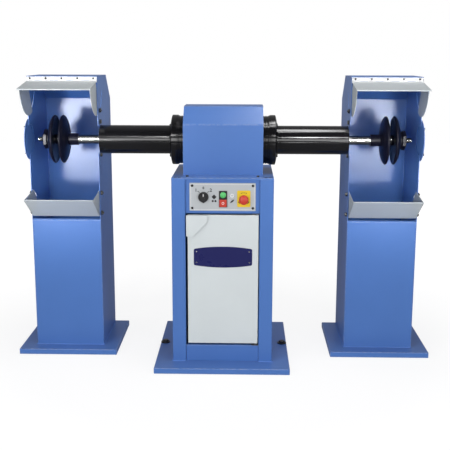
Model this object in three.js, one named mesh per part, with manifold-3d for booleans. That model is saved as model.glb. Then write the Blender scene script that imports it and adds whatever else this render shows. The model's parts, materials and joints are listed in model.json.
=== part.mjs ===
// A floor-standing two-speed buffing machine: a motor pedestal that drives a long
// spindle to both sides, and a dust hood on its own pedestal at each end of it.
// Millimetres, +Z up, +Y to the back. The origin is on the floor, in the middle of
// the machine's length and depth. Names with left are at -X, right at +X.
import * as THREE from 'three';
import { mergeVertices } from 'three/addons/utils/BufferGeometryUtils.js';
import Module from 'manifold-3d';

const wasm = await Module();
wasm.setup();

// Clearance between pieces that bear on each other, and how far a cutter passes them
const fitGap = 0.3;
const cutOverrun = 5;

// Half a turn and a full turn, in degrees
const halfTurn = 180;
const fullTurn = 360;

// Sides of round pieces, by how large they are
const wideSides = 28;
const roundSides = 18;
const smallSides = 8;

// Top of the cabinet, the spindle line over it, and the motor pedestal's base about it
const cabinetTop = 828;
const spindleRise = 137;
const spindleHeight = cabinetTop + spindleRise;
const baseFrontReach = 312;
const baseBackReach = 338;
const spindleY = (baseFrontReach - baseBackReach) / 2;
const baseWidth = 578;
const baseThickness = 25.5;
const pieceFloor = baseThickness + fitGap;

// Cabinet under the motor
const cabinetWidth = 428;
const cabinetFrontReach = 221.5;
const cabinetBackReach = 221.5;
const cabinetSheet = 3;
const topPlateThickness = 8;
const columnWidth = 58;
const columnReturn = 20;
const backReturn = 16;
const kickTop = 98;
const kickRecess = 6;
const kickReturn = 24;
const cabinetFront = spindleY - cabinetFrontReach;
const cabinetBack = spindleY + cabinetBackReach;
const sheetTop = cabinetTop - topPlateThickness - fitGap;
const doorwayHalf = cabinetWidth / 2 - columnWidth;

// Control zone between the columns, above the door
const controlRecess = 10;
const controlZoneHeight = 151;
const surroundBottom = cabinetTop - controlZoneHeight;
const controlWidth = 277;
const controlHeight = 118;
const controlThickness = 2;
const controlDrop = 81;
const controlCentreZ = cabinetTop - controlDrop;
const windowMargin = 14;
const controlFace = cabinetFront + controlRecess - fitGap - controlThickness;

// Selector knob, with a blunt point at its foot
const selectorX = -80;
const selectorZ = controlCentreZ;
const knobRadius = 21.5;
const knobPoint = 25;
const knobDepth = 20;
const knobShaftRadius = 5;
const knobShaftLength = 30;
const controlClearance = 0.5;

// Twin push button
const twinX = 2.3;
const twinDrop = 8.5;
const twinZ = controlCentreZ - twinDrop;
const bezelWidth = 34;
const bezelHeight = 69;
const bezelThickness = 4;
const bezelRim = 1.4;
const switchBodyMargin = 3;
const switchBodyDepth = 42;
const startRadius = 12.5;
const buttonDepth = 9;
const buttonProud = 3.2;
const buttonTravel = 4;

// Emergency stop
const estopX = 89;
const estopDrop = 10;
const estopZ = controlCentreZ - estopDrop;
const estopPlateWidth = 56;
const estopPlateHeight = 70;
const estopPlateDrop = 3;
const estopPlateThickness = 2;
const stemRadius = 11;
const stemNeckRadius = 7;
const stemBack = 26;
const mushroomRadius = 20;
const mushroomStandoff = 9;
const mushroomHeight = 15;
const mushroomEdge = 6;
const stemEngagement = 9;

// Door, hung on two hidden pivot pins near its right edge
const doorGap = 4;
const doorLatchGap = 9;
const doorTopGap = 6;
const doorFootGap = 10;
const doorDepth = 16;
const doorSheet = 2;
const doorPivotInset = 12;
const doorPivotDepth = 8.5;
const pivotPinRadius = 4;
const pivotPinLength = 16;
const pivotPlateThickness = 2.6;
const pivotPlateLength = 30;
const pivotPlateMargin = 2;
const pullOverhang = 5;
const pullWidth = 88;
const pullHeight = 90;
const pullRightSide = 28;
const pullBottomSide = 28;
const pullThickness = 9;
const doorLeft = doorLatchGap - doorwayHalf;
const doorRight = doorwayHalf - doorGap;
const doorBottom = kickTop + doorFootGap;
const doorTop = surroundBottom - doorTopGap;
const doorPivotX = doorRight - doorPivotInset;
const doorPivotY = cabinetFront + doorPivotDepth;

// Head cover over the motor
const headWidth = 338;
const headFrontReach = 148;
const headWallHeight = 215;
const headSlopeRise = 72;
const headSlopeFoot = cabinetTop + headWallHeight;
const headTopZ = headSlopeFoot + headSlopeRise;
const headTopReach = 69;
const headSheet = 3;
const headFlange = 68;
const headHoleGap = 2;
const headFoot = cabinetTop + fitGap;

// Motor
const frameRadius = 104;
const frameWall = 8;
const frameHalf = 125;
const footHalfLength = 90;
const footHalfDepth = 92;
const footWall = 18;
const rotorRadius = 60;
const rotorHalf = 60;
const airGap = 0.6;
const shieldRadius = 105.5;
const shieldEnd = 198;
const shieldWeb = 16;
const hubRadius = 46;
const hubInward = 14;
const bearingRadius = 36;
const bearingWidth = 22;
const bearingShoulder = 6;
const raceWidth = 5;
const raceRecess = 3;

// Spindle housings: a bolting flange at the motor, then a long tube
const drumRadius = 108;
const drumEnd = 229;
const drumTaper = 5;
const drumFaceRadius = 84;
const collarRadius = 66;
const collarLength = 5;
const tubeRadius = 61.75;
const tubeWall = 10;
const tubeReach = 540;
const tubeBearingInset = 4;
const tubeShoulder = 10;
const tubeShoulderRadius = 28;

// Spindle and the pieces that turn with it
const shaftRadius = 20;
const rotorShaftRadius = 24;
const shaftBareLength = 97;
const arborRadius = 15.9;
const arborLength = 152;
const threadRadius = 12;
const threadLength = 28;
const tipChamfer = 2;
const shaftShoulder = tubeReach + shaftBareLength;
const arborReach = shaftShoulder + arborLength;
const spindleReach = arborReach + threadLength;
const shaftBore = shaftRadius + fitGap;
const arborBore = arborRadius + fitGap;
const sleeveRadius = 25.5;
const flangeRadius = 105;
const sleeveLength = 68;
const rimSpacing = 33;
const rimThickness = 7;
const rimLand = 10;
const dishDepth = 22;
const dishWall = 8;
const bossRadius = 30;
const nutRadius = 42;
const nutLength = 19;
const nutChamfer = 3;
const nutPastArbor = 1;
const innerRimX = shaftShoulder + sleeveLength;
const outerRimX = innerRimX + rimSpacing;
const nutOuterX = arborReach + nutPastArbor;

// Dust hood pedestals
const tubeShortOfHood = 7;
const hoodPastSpindle = 36;
const hoodFrontReach = 20;
const hoodDepth = 346;
const hoodRise = 273.6;
const hoodTopDepth = 235;
const hoodBackDrop = 109.6;
const hoodSheet = 3;
const pedestalBaseMargin = 67;
const pedestalBackMargin = 12;
const pedestalFrontReach = 89;
const panelTop = 611;
const panelReturn = 16;
const notchGap = 1.4;
const endCoverRadius = 90;
const endCoverThickness = 3;
const ductHeight = 470;
const ductBoreRadius = 62.5;
const ductFlangeRadius = 84;
const ductFlangeThickness = 12;
const hoodInner = tubeReach + tubeShortOfHood;
const hoodOuter = spindleReach + hoodPastSpindle;
const hoodWidth = hoodOuter - hoodInner;
const hoodTop = spindleHeight + hoodRise;
const hoodCentre = hoodInner + hoodWidth / 2;
const hoodFront = spindleY - hoodFrontReach;
const hoodBack = hoodFront + hoodDepth;
const insideLow = hoodInner + hoodSheet + fitGap;
const insideHigh = hoodOuter - hoodSheet - fitGap;

// Studs and slots that clamp the visor and the scoop to the hood walls
const studRadius = 4;
const studProud = 12;
const slotGap = 0.7;
const cheekGap = 1.5;
const cheekSheet = 2;
const cheekLow = hoodInner + hoodSheet + cheekGap;
const cheekHigh = hoodOuter - hoodSheet - cheekGap;

// Visor at the top of the hood, on a piano hinge
const visorPivotDrop = 23.6;
const visorReach = 170;
const visorSlope = 9;
const visorSideGap = 1;
const visorSheet = 2;
const visorHem = 3;
const visorCheekRadius = 146;
const visorCheekBack = 25;
const visorStudRadius = 132;
const visorStudBack = 18;
const visorTravel = 50;
const leafThickness = 2.2;
const leafTopDrop = 2.6;
const knuckleRadius = 4.2;
const knuckleSetIn = 1.7;
const knuckleCount = 9;
const knuckleGap = 0.8;
const hingePinRadius = 2;
const visorPivotZ = hoodTop - visorPivotDrop;
const visorWidth = hoodWidth - 2 * visorSideGap;
const leafTop = hoodTop - leafTopDrop;
const visorPivotY = hoodFront - fitGap - leafThickness - knuckleRadius + knuckleSetIn;

// Scoop at the foot of the hood opening, on two studs
const scoopPivotRise = 25;
const scoopPivotInset = 22;
const scoopFootDrop = 13;
const scoopLipReach = 150;
const scoopLipHeight = 83;
const scoopCrownBack = 4;
const scoopCrownHeight = 104;
const scoopRearBack = 47;
const scoopRearHeight = 52;
const scoopHeelBack = 8;
const scoopSlotRadius = 90;
const scoopTravel = 45;
const scoopSheet = 2;
const scoopHem = 5;
const scoopPivotY = hoodFront + scoopPivotInset;
const scoopPivotZ = panelTop + scoopPivotRise;

// Electrical pieces inside the cabinet, and the gland in its back
const plateWidth = 240;
const plateHeight = 320;
const plateThickness = 3;
const plateFoot = 260;
const contactorWidth = 90;
const contactorHeight = 110;
const contactorDepth = 82;
const contactorFoot = 400;
const contactorStep = 24;
const glandX = 150;
const glandZ = 140;
const glandRadius = 15;
const glandFlange = 4;
const glandNose = 20;
const glandBoreRadius = 6;
const glandThreadRadius = 10;
const glandInside = 14;

// Finishes
const finish = (color, roughness, metalness) =>
  new THREE.MeshStandardMaterial({ color, roughness, metalness });
const blueEnamel = finish(0x5078b9, 0.38, 0.0);
const blackEnamel = finish(0x14161a, 0.25, 0.0);
const whiteEnamel = finish(0xd3dadc, 0.4, 0.0);
const visorGrey = finish(0x9aa5b0, 0.45, 0.1);
const panelGrey = finish(0xc3c7ca, 0.5, 0.1);
const brightSteel = finish(0xc8ccd0, 0.22, 1.0);
const plainSteel = finish(0x8c9096, 0.4, 0.9);
const coreSteel = finish(0x5c6066, 0.6, 0.7);
const blackPlastic = finish(0x1c1d20, 0.5, 0.0);
const redPlastic = finish(0xe04030, 0.4, 0.0);
const greenPlastic = finish(0x4cb860, 0.4, 0.0);
const yellowPlastic = finish(0xf0d020, 0.45, 0.0);

const machine = new THREE.Group();

// One closed body from a three.js geometry: shared points, no slivers, faces outward
function closedBody(geometry) {
  const bare = geometry.index ? geometry.toNonIndexed() : geometry.clone();
  bare.deleteAttribute('normal');
  bare.deleteAttribute('uv');
  const merged = mergeVertices(bare);
  const points = merged.attributes.position.array;
  const kept = [];
  let volume = 0;
  const corner = [new THREE.Vector3(), new THREE.Vector3(), new THREE.Vector3()];
  for (let i = 0; i < merged.index.count; i += 3) {
    const face = [0, 1, 2].map((k) => merged.index.getX(i + k));
    if (new Set(face).size < face.length) continue;
    face.forEach((vertex, k) => corner[k].fromArray(points, 3 * vertex));
    volume += corner[0].dot(corner[1].clone().cross(corner[2]));
    kept.push(face);
  }
  const triangles = kept.flatMap((face) => (volume < 0 ? face.reverse() : face));
  return { points: Float32Array.from(points), triangles: Uint32Array.from(triangles) };
}

function solid(geometry) {
  const body = closedBody(geometry);
  const mesh = new wasm.Mesh({ numProp: 3, vertProperties: body.points, triVerts: body.triangles });
  return new wasm.Manifold(mesh);
}

function meshed(shape) {
  const result = shape.getMesh();
  const geometry = new THREE.BufferGeometry();
  geometry.setAttribute('position', new THREE.BufferAttribute(result.vertProperties, 3));
  geometry.setIndex(new THREE.BufferAttribute(result.triVerts, 1));
  geometry.computeVertexNormals();
  return geometry;
}

function addPiece(name, shape, material) {
  const piece = new THREE.Mesh(meshed(shape), material);
  piece.name = name;
  machine.add(piece);
}

// The same piece for the left or the right side; shapes are drawn for the right
function addSided(side, name, shape, material) {
  const geometry = meshed(shape);
  geometry.applyMatrix4(new THREE.Matrix4().makeScale(side, 1, 1));
  const piece = new THREE.Mesh(meshed(solid(geometry)), material);
  piece.name = `${side < 0 ? 'left' : 'right'}_${name}`;
  machine.add(piece);
}

function block(x0, x1, y0, y1, z0, z1) {
  const geometry = new THREE.BoxGeometry(x1 - x0, y1 - y0, z1 - z0);
  return solid(geometry.translate((x0 + x1) / 2, (y0 + y1) / 2, (z0 + z1) / 2));
}

const alongX = new THREE.Matrix4().makeBasis(
  new THREE.Vector3(0, 1, 0), new THREE.Vector3(0, 0, 1), new THREE.Vector3(1, 0, 0));
const alongY = new THREE.Matrix4().makeBasis(
  new THREE.Vector3(-1, 0, 0), new THREE.Vector3(0, 0, 1), new THREE.Vector3(0, 1, 0));
const alongZ = new THREE.Matrix4();

// An outline pushed from low to high along an axis. The outline is in (y, z) along X,
// in (-x, z) along Y and in (x, y) along Z.
function prism(outline, axis, low, high) {
  const shape = new THREE.Shape(outline.map(([a, b]) => new THREE.Vector2(a, b)));
  const geometry = new THREE.ExtrudeGeometry(shape, { depth: high - low, bevelEnabled: false });
  geometry.translate(0, 0, low);
  return solid(geometry.applyMatrix4(axis));
}

const flipX = (outline) => outline.map(([x, z]) => [-x, z]);

// A profile of [distance along, radius] points turned about an axis line
function turned(profile, sides, axis, centre) {
  const points = profile.map(([along, radius]) => new THREE.Vector2(radius, along));
  const open = profile.some(([, radius]) => radius === 0);
  if (!open) points.push(points[0].clone());
  const geometry = new THREE.LatheGeometry(points, sides);
  const lift = new THREE.Matrix4().makeBasis(
    new THREE.Vector3(1, 0, 0), new THREE.Vector3(0, 0, 1), new THREE.Vector3(0, -1, 0));
  geometry.applyMatrix4(lift).applyMatrix4(axis);
  return solid(geometry.translate(...centre));
}

const rod = (radius, sides, axis, low, high, centre) =>
  turned([[low, 0], [low, radius], [high, radius], [high, 0]], sides, axis, centre);

// The outline of a bent sheet: a path, and the same path one thickness to its left
function bentSheet(path, thickness) {
  const points = path.map(([a, b]) => new THREE.Vector2(a, b));
  const normals = points.slice(1).map((point, i) => {
    const run = point.clone().sub(points[i]).normalize();
    return new THREE.Vector2(-run.y, run.x);
  });
  const inner = points.map((point, i) => {
    const before = normals[Math.max(i - 1, 0)];
    const after = normals[Math.min(i, normals.length - 1)];
    const mid = before.clone().add(after).normalize();
    return point.clone().addScaledVector(mid, thickness / mid.dot(after));
  });
  return [...points, ...inner.reverse()].map((point) => [point.x, point.y]);
}

const spindleLine = [0, spindleY, spindleHeight];
const radians = THREE.MathUtils.degToRad;

// A point in (y, z) at a radius and an angle from straight down, positive to the back
function fromDown(centreY, centreZ, radius, degrees) {
  const angle = radians(degrees);
  return [centreY + radius * Math.sin(angle), centreZ - radius * Math.cos(angle)];
}

function arc(centreY, centreZ, radius, from, to, steps) {
  const places = Array.from({ length: steps + 1 }, (_, i) => from + ((to - from) * i) / steps);
  return places.map((degrees) => fromDown(centreY, centreZ, radius, degrees));
}

// A slot with round ends that follows an arc, as its outline in (y, z)
function slotOutline(centreY, centreZ, radius, from, to, halfWidth) {
  const steps = 8;
  const capSteps = 4;
  const outer = arc(centreY, centreZ, radius + halfWidth, from, to, steps);
  const inner = arc(centreY, centreZ, radius - halfWidth, to, from, steps);
  const [endY, endZ] = fromDown(centreY, centreZ, radius, to);
  const [startY, startZ] = fromDown(centreY, centreZ, radius, from);
  const endCap = arc(endY, endZ, halfWidth, to, to + halfTurn, capSteps).slice(1, -1);
  const startCap = arc(startY, startZ, halfWidth, from - halfTurn, from, capSteps).slice(1, -1);
  return [...outer, ...endCap, ...inner, ...startCap];
}

function motorPedestalBase() {
  const front = spindleY - baseFrontReach;
  const back = spindleY + baseBackReach;
  const plate = block(-baseWidth / 2, baseWidth / 2, front, back, 0, baseThickness);
  addPiece('centre_base_plate', plate, blueEnamel);
}

function cabinetShell() {
  const wall = cabinetWidth / 2;
  const path = [
    [wall - backReturn, cabinetBack], [wall, cabinetBack], [wall, cabinetFront],
    [doorwayHalf, cabinetFront], [doorwayHalf, cabinetFront + columnReturn],
  ];
  const outline = bentSheet(path.reverse(), cabinetSheet);
  for (const side of [-1, 1]) {
    addSided(side, 'cabinet_side', prism(outline, alongZ, pieceFloor, sheetTop), blueEnamel);
  }

  const backHalf = wall - cabinetSheet - fitGap;
  const backOuter = cabinetBack - cabinetSheet - fitGap;
  const back = block(-backHalf, backHalf, backOuter - cabinetSheet, backOuter, pieceFloor, sheetTop);
  const glandHole = rod(glandThreadRadius + fitGap, roundSides, alongY,
    backOuter - cabinetSheet - cutOverrun, backOuter + cutOverrun, [glandX, 0, glandZ]);
  addPiece('cabinet_back_panel', back.subtract(glandHole), blueEnamel);

  const top = block(-wall, wall, cabinetFront, cabinetBack, cabinetTop - topPlateThickness, cabinetTop);
  addPiece('cabinet_top_plate', top, blueEnamel);

  const kickFace = cabinetFront + kickRecess;
  const kickPath = [[kickFace, pieceFloor], [kickFace, kickTop], [kickFace + kickReturn, kickTop]];
  const kickHalf = doorwayHalf - fitGap;
  const kick = prism(bentSheet(kickPath.reverse(), cabinetSheet), alongX, -kickHalf, kickHalf);
  addPiece('cabinet_kick_rail', kick, blueEnamel);
}

function controlZone() {
  const half = doorwayHalf - fitGap;
  const face = cabinetFront + controlRecess;
  const sheet = block(-half, half, face, face + cabinetSheet, surroundBottom, sheetTop);
  const windowHalf = controlWidth / 2 - windowMargin;
  const windowRise = controlHeight / 2 - windowMargin;
  const opening = block(-windowHalf, windowHalf, face - cutOverrun, face + cabinetSheet + cutOverrun,
    controlCentreZ - windowRise, controlCentreZ + windowRise);
  addPiece('control_surround', sheet.subtract(opening), blueEnamel);

  const low = controlFace - cutOverrun;
  const high = controlFace + controlThickness + cutOverrun;
  const knobHole = rod(knobShaftRadius + controlClearance, smallSides, alongY, low, high,
    [selectorX, 0, selectorZ]);
  const stemHole = rod(stemRadius + controlClearance, roundSides, alongY, low, high, [estopX, 0, estopZ]);
  const bodyHalf = bezelWidth / 2 - switchBodyMargin + fitGap;
  const bodyRise = bezelHeight / 2 - switchBodyMargin + fitGap;
  const switchHole = block(twinX - bodyHalf, twinX + bodyHalf, low, high,
    twinZ - bodyRise, twinZ + bodyRise);
  const panel = block(-controlWidth / 2, controlWidth / 2, controlFace, controlFace + controlThickness,
    controlCentreZ - controlHeight / 2, controlCentreZ + controlHeight / 2);
  addPiece('control_panel', panel.subtract(knobHole).subtract(stemHole).subtract(switchHole), panelGrey);
}

function selectorKnob() {
  const tangent = THREE.MathUtils.radToDeg(Math.acos(knobRadius / knobPoint));
  const steps = 20;
  const round = arc(0, 0, knobRadius, tangent, fullTurn - tangent, steps);
  const outline = [[0, -knobPoint], ...round];
  const back = controlFace - fitGap;
  const grip = prism(outline, alongY, back - knobDepth, back).translate([selectorX, 0, selectorZ]);
  const shaft = rod(knobShaftRadius, smallSides, alongY, back - knobDepth / 2,
    controlFace + knobShaftLength, [selectorX, 0, selectorZ]);
  addPiece('selector_knob', grip.add(shaft), blackPlastic);
}

function twinPushButton() {
  const plateBack = controlFace - fitGap;
  const plateFront = plateBack - bezelThickness;
  const rear = controlFace + switchBodyDepth;
  const pocketFloor = plateFront - buttonProud + buttonDepth + buttonTravel + fitGap;
  const half = bezelWidth / 2;
  const rise = bezelHeight / 2;
  const stopSize = bezelWidth - 2 * bezelRim;
  const startZ = twinZ + rise / 2;
  const stopZ = twinZ - rise / 2;

  const plate = block(twinX - half, twinX + half, plateFront, plateBack, twinZ - rise, twinZ + rise);
  const inset = switchBodyMargin;
  const body = block(twinX - half + inset, twinX + half - inset, plateBack - fitGap, rear,
    twinZ - rise + inset, twinZ + rise - inset);
  const startPocket = rod(startRadius + fitGap, roundSides, alongY, plateFront - cutOverrun,
    pocketFloor, [twinX, 0, startZ]);
  const stemHalf = half - inset - 2 * bezelRim;
  const stopHalf = stopSize / 2;
  const stopPocket = block(twinX - stopHalf, twinX + stopHalf, plateFront - cutOverrun,
    plateBack - bezelRim, stopZ - stopHalf, stopZ + stopHalf);
  const stopStemPocket = block(twinX - stemHalf, twinX + stemHalf, plateFront - cutOverrun,
    pocketFloor, stopZ - stemHalf, stopZ + stemHalf);
  const bezel = plate.add(body).subtract(startPocket).subtract(stopPocket).subtract(stopStemPocket);
  addPiece('button_bezel', bezel, blackPlastic);

  const face = plateFront - buttonProud;
  const start = turned([
    [face, 0], [face, startRadius - bezelRim], [face + bezelRim, startRadius],
    [face + buttonDepth, startRadius], [face + buttonDepth, 0],
  ], roundSides, alongY, [twinX, 0, startZ]);
  addPiece('start_button', start, greenPlastic);

  const capHalf = stopHalf - controlClearance;
  const shankHalf = stemHalf - controlClearance;
  const travelled = plateBack - bezelRim - buttonTravel - fitGap;
  const cap = block(twinX - capHalf, twinX + capHalf, face - buttonTravel / 2, travelled,
    stopZ - capHalf, stopZ + capHalf);
  const shank = block(twinX - shankHalf, twinX + shankHalf, face, face + buttonDepth,
    stopZ - shankHalf, stopZ + shankHalf);
  addPiece('stop_button', cap.add(shank), redPlastic);
}

function emergencyStop() {
  const centre = [estopX, 0, estopZ];
  const plateBack = controlFace - fitGap;
  const plateFront = plateBack - estopPlateThickness;
  const middle = estopZ + estopPlateDrop;
  const plate = block(estopX - estopPlateWidth / 2, estopX + estopPlateWidth / 2, plateFront, plateBack,
    middle - estopPlateHeight / 2, middle + estopPlateHeight / 2);
  const hole = rod(stemRadius + controlClearance, roundSides, alongY, plateFront - cutOverrun,
    plateBack + cutOverrun, centre);
  addPiece('estop_plate', plate.subtract(hole), yellowPlastic);

  const skirt = plateFront - mushroomStandoff;
  const neckEnd = skirt - stemEngagement;
  const stem = turned([
    [neckEnd, 0], [neckEnd, stemNeckRadius], [skirt + fitGap, stemNeckRadius],
    [skirt + fitGap, stemRadius], [controlFace + stemBack, stemRadius], [controlFace + stemBack, 0],
  ], roundSides, alongY, centre);
  addPiece('estop_stem', stem, blackPlastic);

  const crown = skirt - mushroomHeight;
  const domeShares = [[1, 0], [0.93, 0.5], [0.72, 0.82], [0.38, 0.97]];
  const dome = domeShares.map(([out, up]) =>
    [skirt - mushroomEdge - (mushroomHeight - mushroomEdge) * up, mushroomRadius * out]);
  const bore = stemNeckRadius + fitGap;
  const mushroom = turned([
    [neckEnd - fitGap, 0], [neckEnd - fitGap, bore], [skirt, bore], [skirt, mushroomRadius],
    ...dome, [crown, 0],
  ], roundSides, alongY, centre);
  addPiece('estop_mushroom', mushroom, redPlastic);
}

function doorPivot(name, plateLow, pinLow, pinHigh) {
  const right = doorwayHalf - fitGap;
  const reach = doorPivotDepth - pivotPlateMargin;
  const plate = block(right - pivotPlateLength, right, doorPivotY - reach, doorPivotY + reach,
    plateLow, plateLow + pivotPlateThickness);
  const pin = rod(pivotPinRadius, roundSides, alongZ, pinLow, pinHigh, [doorPivotX, doorPivotY, 0]);
  addPiece(name, plate.add(pin), plainSteel);
}

function door() {
  const outer = block(doorLeft, doorRight, cabinetFront, cabinetFront + doorDepth, doorBottom, doorTop);
  const inner = block(doorLeft + doorSheet, doorRight - doorSheet, cabinetFront + doorSheet,
    cabinetFront + doorDepth + cutOverrun, doorBottom + doorSheet, doorTop - doorSheet);
  const pins = rod(pivotPinRadius + fitGap, roundSides, alongZ, doorBottom - cutOverrun,
    doorTop + cutOverrun, [doorPivotX, doorPivotY, 0]);
  addPiece('front_door', outer.subtract(inner).subtract(pins), whiteEnamel);

  const left = doorLeft - pullOverhang;
  const pull = [
    [left, doorTop], [left + pullWidth, doorTop], [left + pullWidth, doorTop - pullRightSide],
    [left + pullBottomSide, doorTop - pullHeight], [left, doorTop - pullHeight],
  ];
  const back = cabinetFront - fitGap;
  addPiece('door_pull', prism(flipX(pull), alongY, back - pullThickness, back), whiteEnamel);

  const upperPlate = doorTop + doorTopGap - fitGap - pivotPlateThickness;
  doorPivot('upper_door_pivot', upperPlate, doorTop - pivotPinLength, upperPlate + fitGap);
  const lowerPlate = kickTop + fitGap;
  doorPivot('lower_door_pivot', lowerPlate, lowerPlate + fitGap, doorBottom + pivotPinLength);
}

function headCover() {
  const half = headWidth / 2;
  const section = [
    [-headFrontReach, headFoot], [-headFrontReach, headSlopeFoot], [-headTopReach, headTopZ],
    [headTopReach, headTopZ], [headFrontReach, headSlopeFoot], [headFrontReach, headFoot],
  ].map(([y, z]) => [spindleY + y, z]).reverse();
  const wrap = prism(bentSheet(section, headSheet), alongX, -half, half);
  const ends = prism(section, alongX, -half, half).subtract(
    prism(section, alongX, -half + headSheet, half - headSheet));
  const passage = rod(shieldRadius + headHoleGap, wideSides, alongX, -half - cutOverrun,
    half + cutOverrun, spindleLine);
  addPiece('head_cover', wrap.add(ends).subtract(passage), blueEnamel);

  const flangeBack = spindleY - headFrontReach - fitGap;
  const flange = block(-half, half, flangeBack - headFlange, flangeBack, headFoot, headFoot + headSheet);
  addPiece('head_front_flange', flange, blueEnamel);
}

function motorStator() {
  const barrel = rod(frameRadius, wideSides, alongX, -frameHalf, frameHalf, spindleLine);
  const foot = block(-footHalfLength, footHalfLength, spindleY - footHalfDepth, spindleY + footHalfDepth,
    cabinetTop + fitGap, spindleHeight);
  const relief = block(-footHalfLength - cutOverrun, footHalfLength + cutOverrun,
    spindleY - footHalfDepth + 2 * footWall, spindleY + footHalfDepth - 2 * footWall,
    cabinetTop - cutOverrun, spindleHeight - frameRadius);
  const bore = rod(frameRadius - frameWall, wideSides, alongX, -frameHalf - cutOverrun,
    frameHalf + cutOverrun, spindleLine);
  const frame = barrel.add(foot.subtract(relief)).subtract(bore);
  addPiece('motor_frame', frame, blackEnamel);

  const outer = frameRadius - frameWall - fitGap;
  const inner = rotorRadius + airGap;
  const stator = turned([[-rotorHalf, inner], [-rotorHalf, outer], [rotorHalf, outer], [rotorHalf, inner]],
    wideSides, alongX, spindleLine);
  addPiece('stator_core', stator, coreSteel);
}

// A ball bearing as one ring, with the recess between its two races on both faces
function bearing(side, name, inboard) {
  const bore = shaftBore;
  const outboard = inboard + bearingWidth;
  const ring = turned([
    [inboard, bore], [outboard, bore], [outboard, bore + raceWidth],
    [outboard - raceRecess, bore + raceWidth], [outboard - raceRecess, bearingRadius - raceWidth],
    [outboard, bearingRadius - raceWidth], [outboard, bearingRadius], [inboard, bearingRadius],
  ], wideSides, alongX, spindleLine);
  addSided(side, name, ring, brightSteel);
}

function spindleHousing(side) {
  const seat = bearingRadius + fitGap;
  const opening = frameRadius - frameWall;
  const start = frameHalf + fitGap;
  const webFace = shieldEnd - shieldWeb;
  const seatEnd = shieldEnd - bearingShoulder;
  const seatStart = webFace - hubInward;
  const shaftHole = shaftBore + fitGap;
  const shield = turned([
    [start, opening], [start, shieldRadius], [shieldEnd, shieldRadius], [shieldEnd, shaftHole],
    [seatEnd, shaftHole], [seatEnd, seat], [seatStart, seat], [seatStart, hubRadius],
    [webFace, hubRadius], [webFace, opening],
  ], wideSides, alongX, spindleLine);
  addSided(side, 'end_shield', shield, blackEnamel);
  bearing(side, 'motor_bearing', seatEnd - fitGap - bearingWidth);

  const flangeFace = shieldEnd + fitGap;
  const bore = tubeRadius - tubeWall;
  const tubeSeat = tubeReach - tubeBearingInset - bearingWidth - fitGap;
  const tube = turned([
    [flangeFace, bore], [flangeFace, drumRadius], [drumEnd - drumTaper, drumRadius],
    [drumEnd, drumFaceRadius], [drumEnd, collarRadius], [drumEnd + collarLength, collarRadius],
    [drumEnd + collarLength, tubeRadius], [tubeReach, tubeRadius], [tubeReach, seat],
    [tubeSeat, seat], [tubeSeat, tubeShoulderRadius], [tubeSeat - tubeShoulder, tubeShoulderRadius],
    [tubeSeat - tubeShoulder, bore],
  ], wideSides, alongX, spindleLine);
  addSided(side, 'spindle_tube', tube, blackEnamel);
  bearing(side, 'tube_bearing', tubeSeat + fitGap);
}

function spindle() {
  const half = [
    [rotorHalf, rotorShaftRadius], [rotorHalf, shaftRadius], [shaftShoulder, shaftRadius],
    [shaftShoulder, arborRadius], [arborReach, arborRadius], [arborReach, threadRadius],
    [spindleReach - tipChamfer, threadRadius], [spindleReach, threadRadius - tipChamfer],
    [spindleReach, 0],
  ];
  const other = half.map(([along, radius]) => [-along, radius]).reverse();
  const shaft = turned([...other, ...half], wideSides, alongX, spindleLine);
  addPiece('main_spindle', shaft, brightSteel);

  const bore = rotorShaftRadius + fitGap;
  const rotor = turned([
    [-rotorHalf, bore], [-rotorHalf, rotorRadius], [rotorHalf, rotorRadius], [rotorHalf, bore],
  ], wideSides, alongX, spindleLine);
  addPiece('rotor_core', rotor, coreSteel);
}

// Half of a dished flange's section, from the boss out to the rim: the domed side, then
// the hollow side that faces the buffing wheel. Outward is 1 or -1 along the spindle.
function dish(rimX, outward) {
  const domeShares = [[0.42, 0.93], [0.74, 0.6], [0.94, 0.17]];
  const hollowShares = [[0.8, 0.16], [0.5, 0.6]];
  const face = rimX + (rimThickness / 2) * outward;
  const backFace = rimX - (rimThickness / 2) * outward;
  const edge = rimThickness / 4;
  const dome = domeShares.map(([out, deep]) =>
    [backFace - dishDepth * deep * outward, flangeRadius * out]);
  const rim = [
    [backFace + edge * outward, flangeRadius], [face - edge * outward, flangeRadius],
    [face, flangeRadius - edge], [face, flangeRadius - rimLand],
  ];
  const hollow = hollowShares.map(([out, deep]) =>
    [backFace + (rimThickness - dishWall * deep) * outward, flangeRadius * out]);
  return [...dome, ...rim, ...hollow];
}

function wheelFlanges(side) {
  const meeting = (innerRimX + outerRimX) / 2;
  const innerBoss = meeting - fitGap / 2;
  const start = shaftShoulder + fitGap;
  const domeFoot = innerRimX - rimThickness / 2 - dishDepth;
  const hollowFoot = innerRimX - rimThickness / 2 + rimThickness - dishWall;
  const inner = turned([
    [start, arborBore], [start, sleeveRadius], [domeFoot, sleeveRadius], ...dish(innerRimX, 1),
    [hollowFoot, bossRadius], [innerBoss, bossRadius], [innerBoss, arborBore],
  ], wideSides, alongX, spindleLine);
  addSided(side, 'inner_flange', inner, blackEnamel);

  const outerBoss = meeting + fitGap / 2;
  const nutFace = nutOuterX - nutLength;
  const hubEnd = nutFace - fitGap;
  const domeTop = outerRimX + rimThickness / 2 + dishDepth;
  const outerHollow = outerRimX + rimThickness / 2 - rimThickness + dishWall;
  const outer = turned([
    [hubEnd, arborBore], [hubEnd, bossRadius], [domeTop, bossRadius], ...dish(outerRimX, -1),
    [outerHollow, bossRadius], [outerBoss, bossRadius], [outerBoss, arborBore],
  ], wideSides, alongX, spindleLine);
  addSided(side, 'outer_flange', outer, blackEnamel);

  const nut = turned([
    [nutFace, arborBore], [nutFace, nutRadius], [nutOuterX - nutChamfer, nutRadius],
    [nutOuterX, nutRadius - nutChamfer], [nutOuterX, arborBore],
  ], roundSides, alongX, spindleLine);
  addSided(side, 'clamp_nut', nut, blackEnamel);
}

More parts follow.
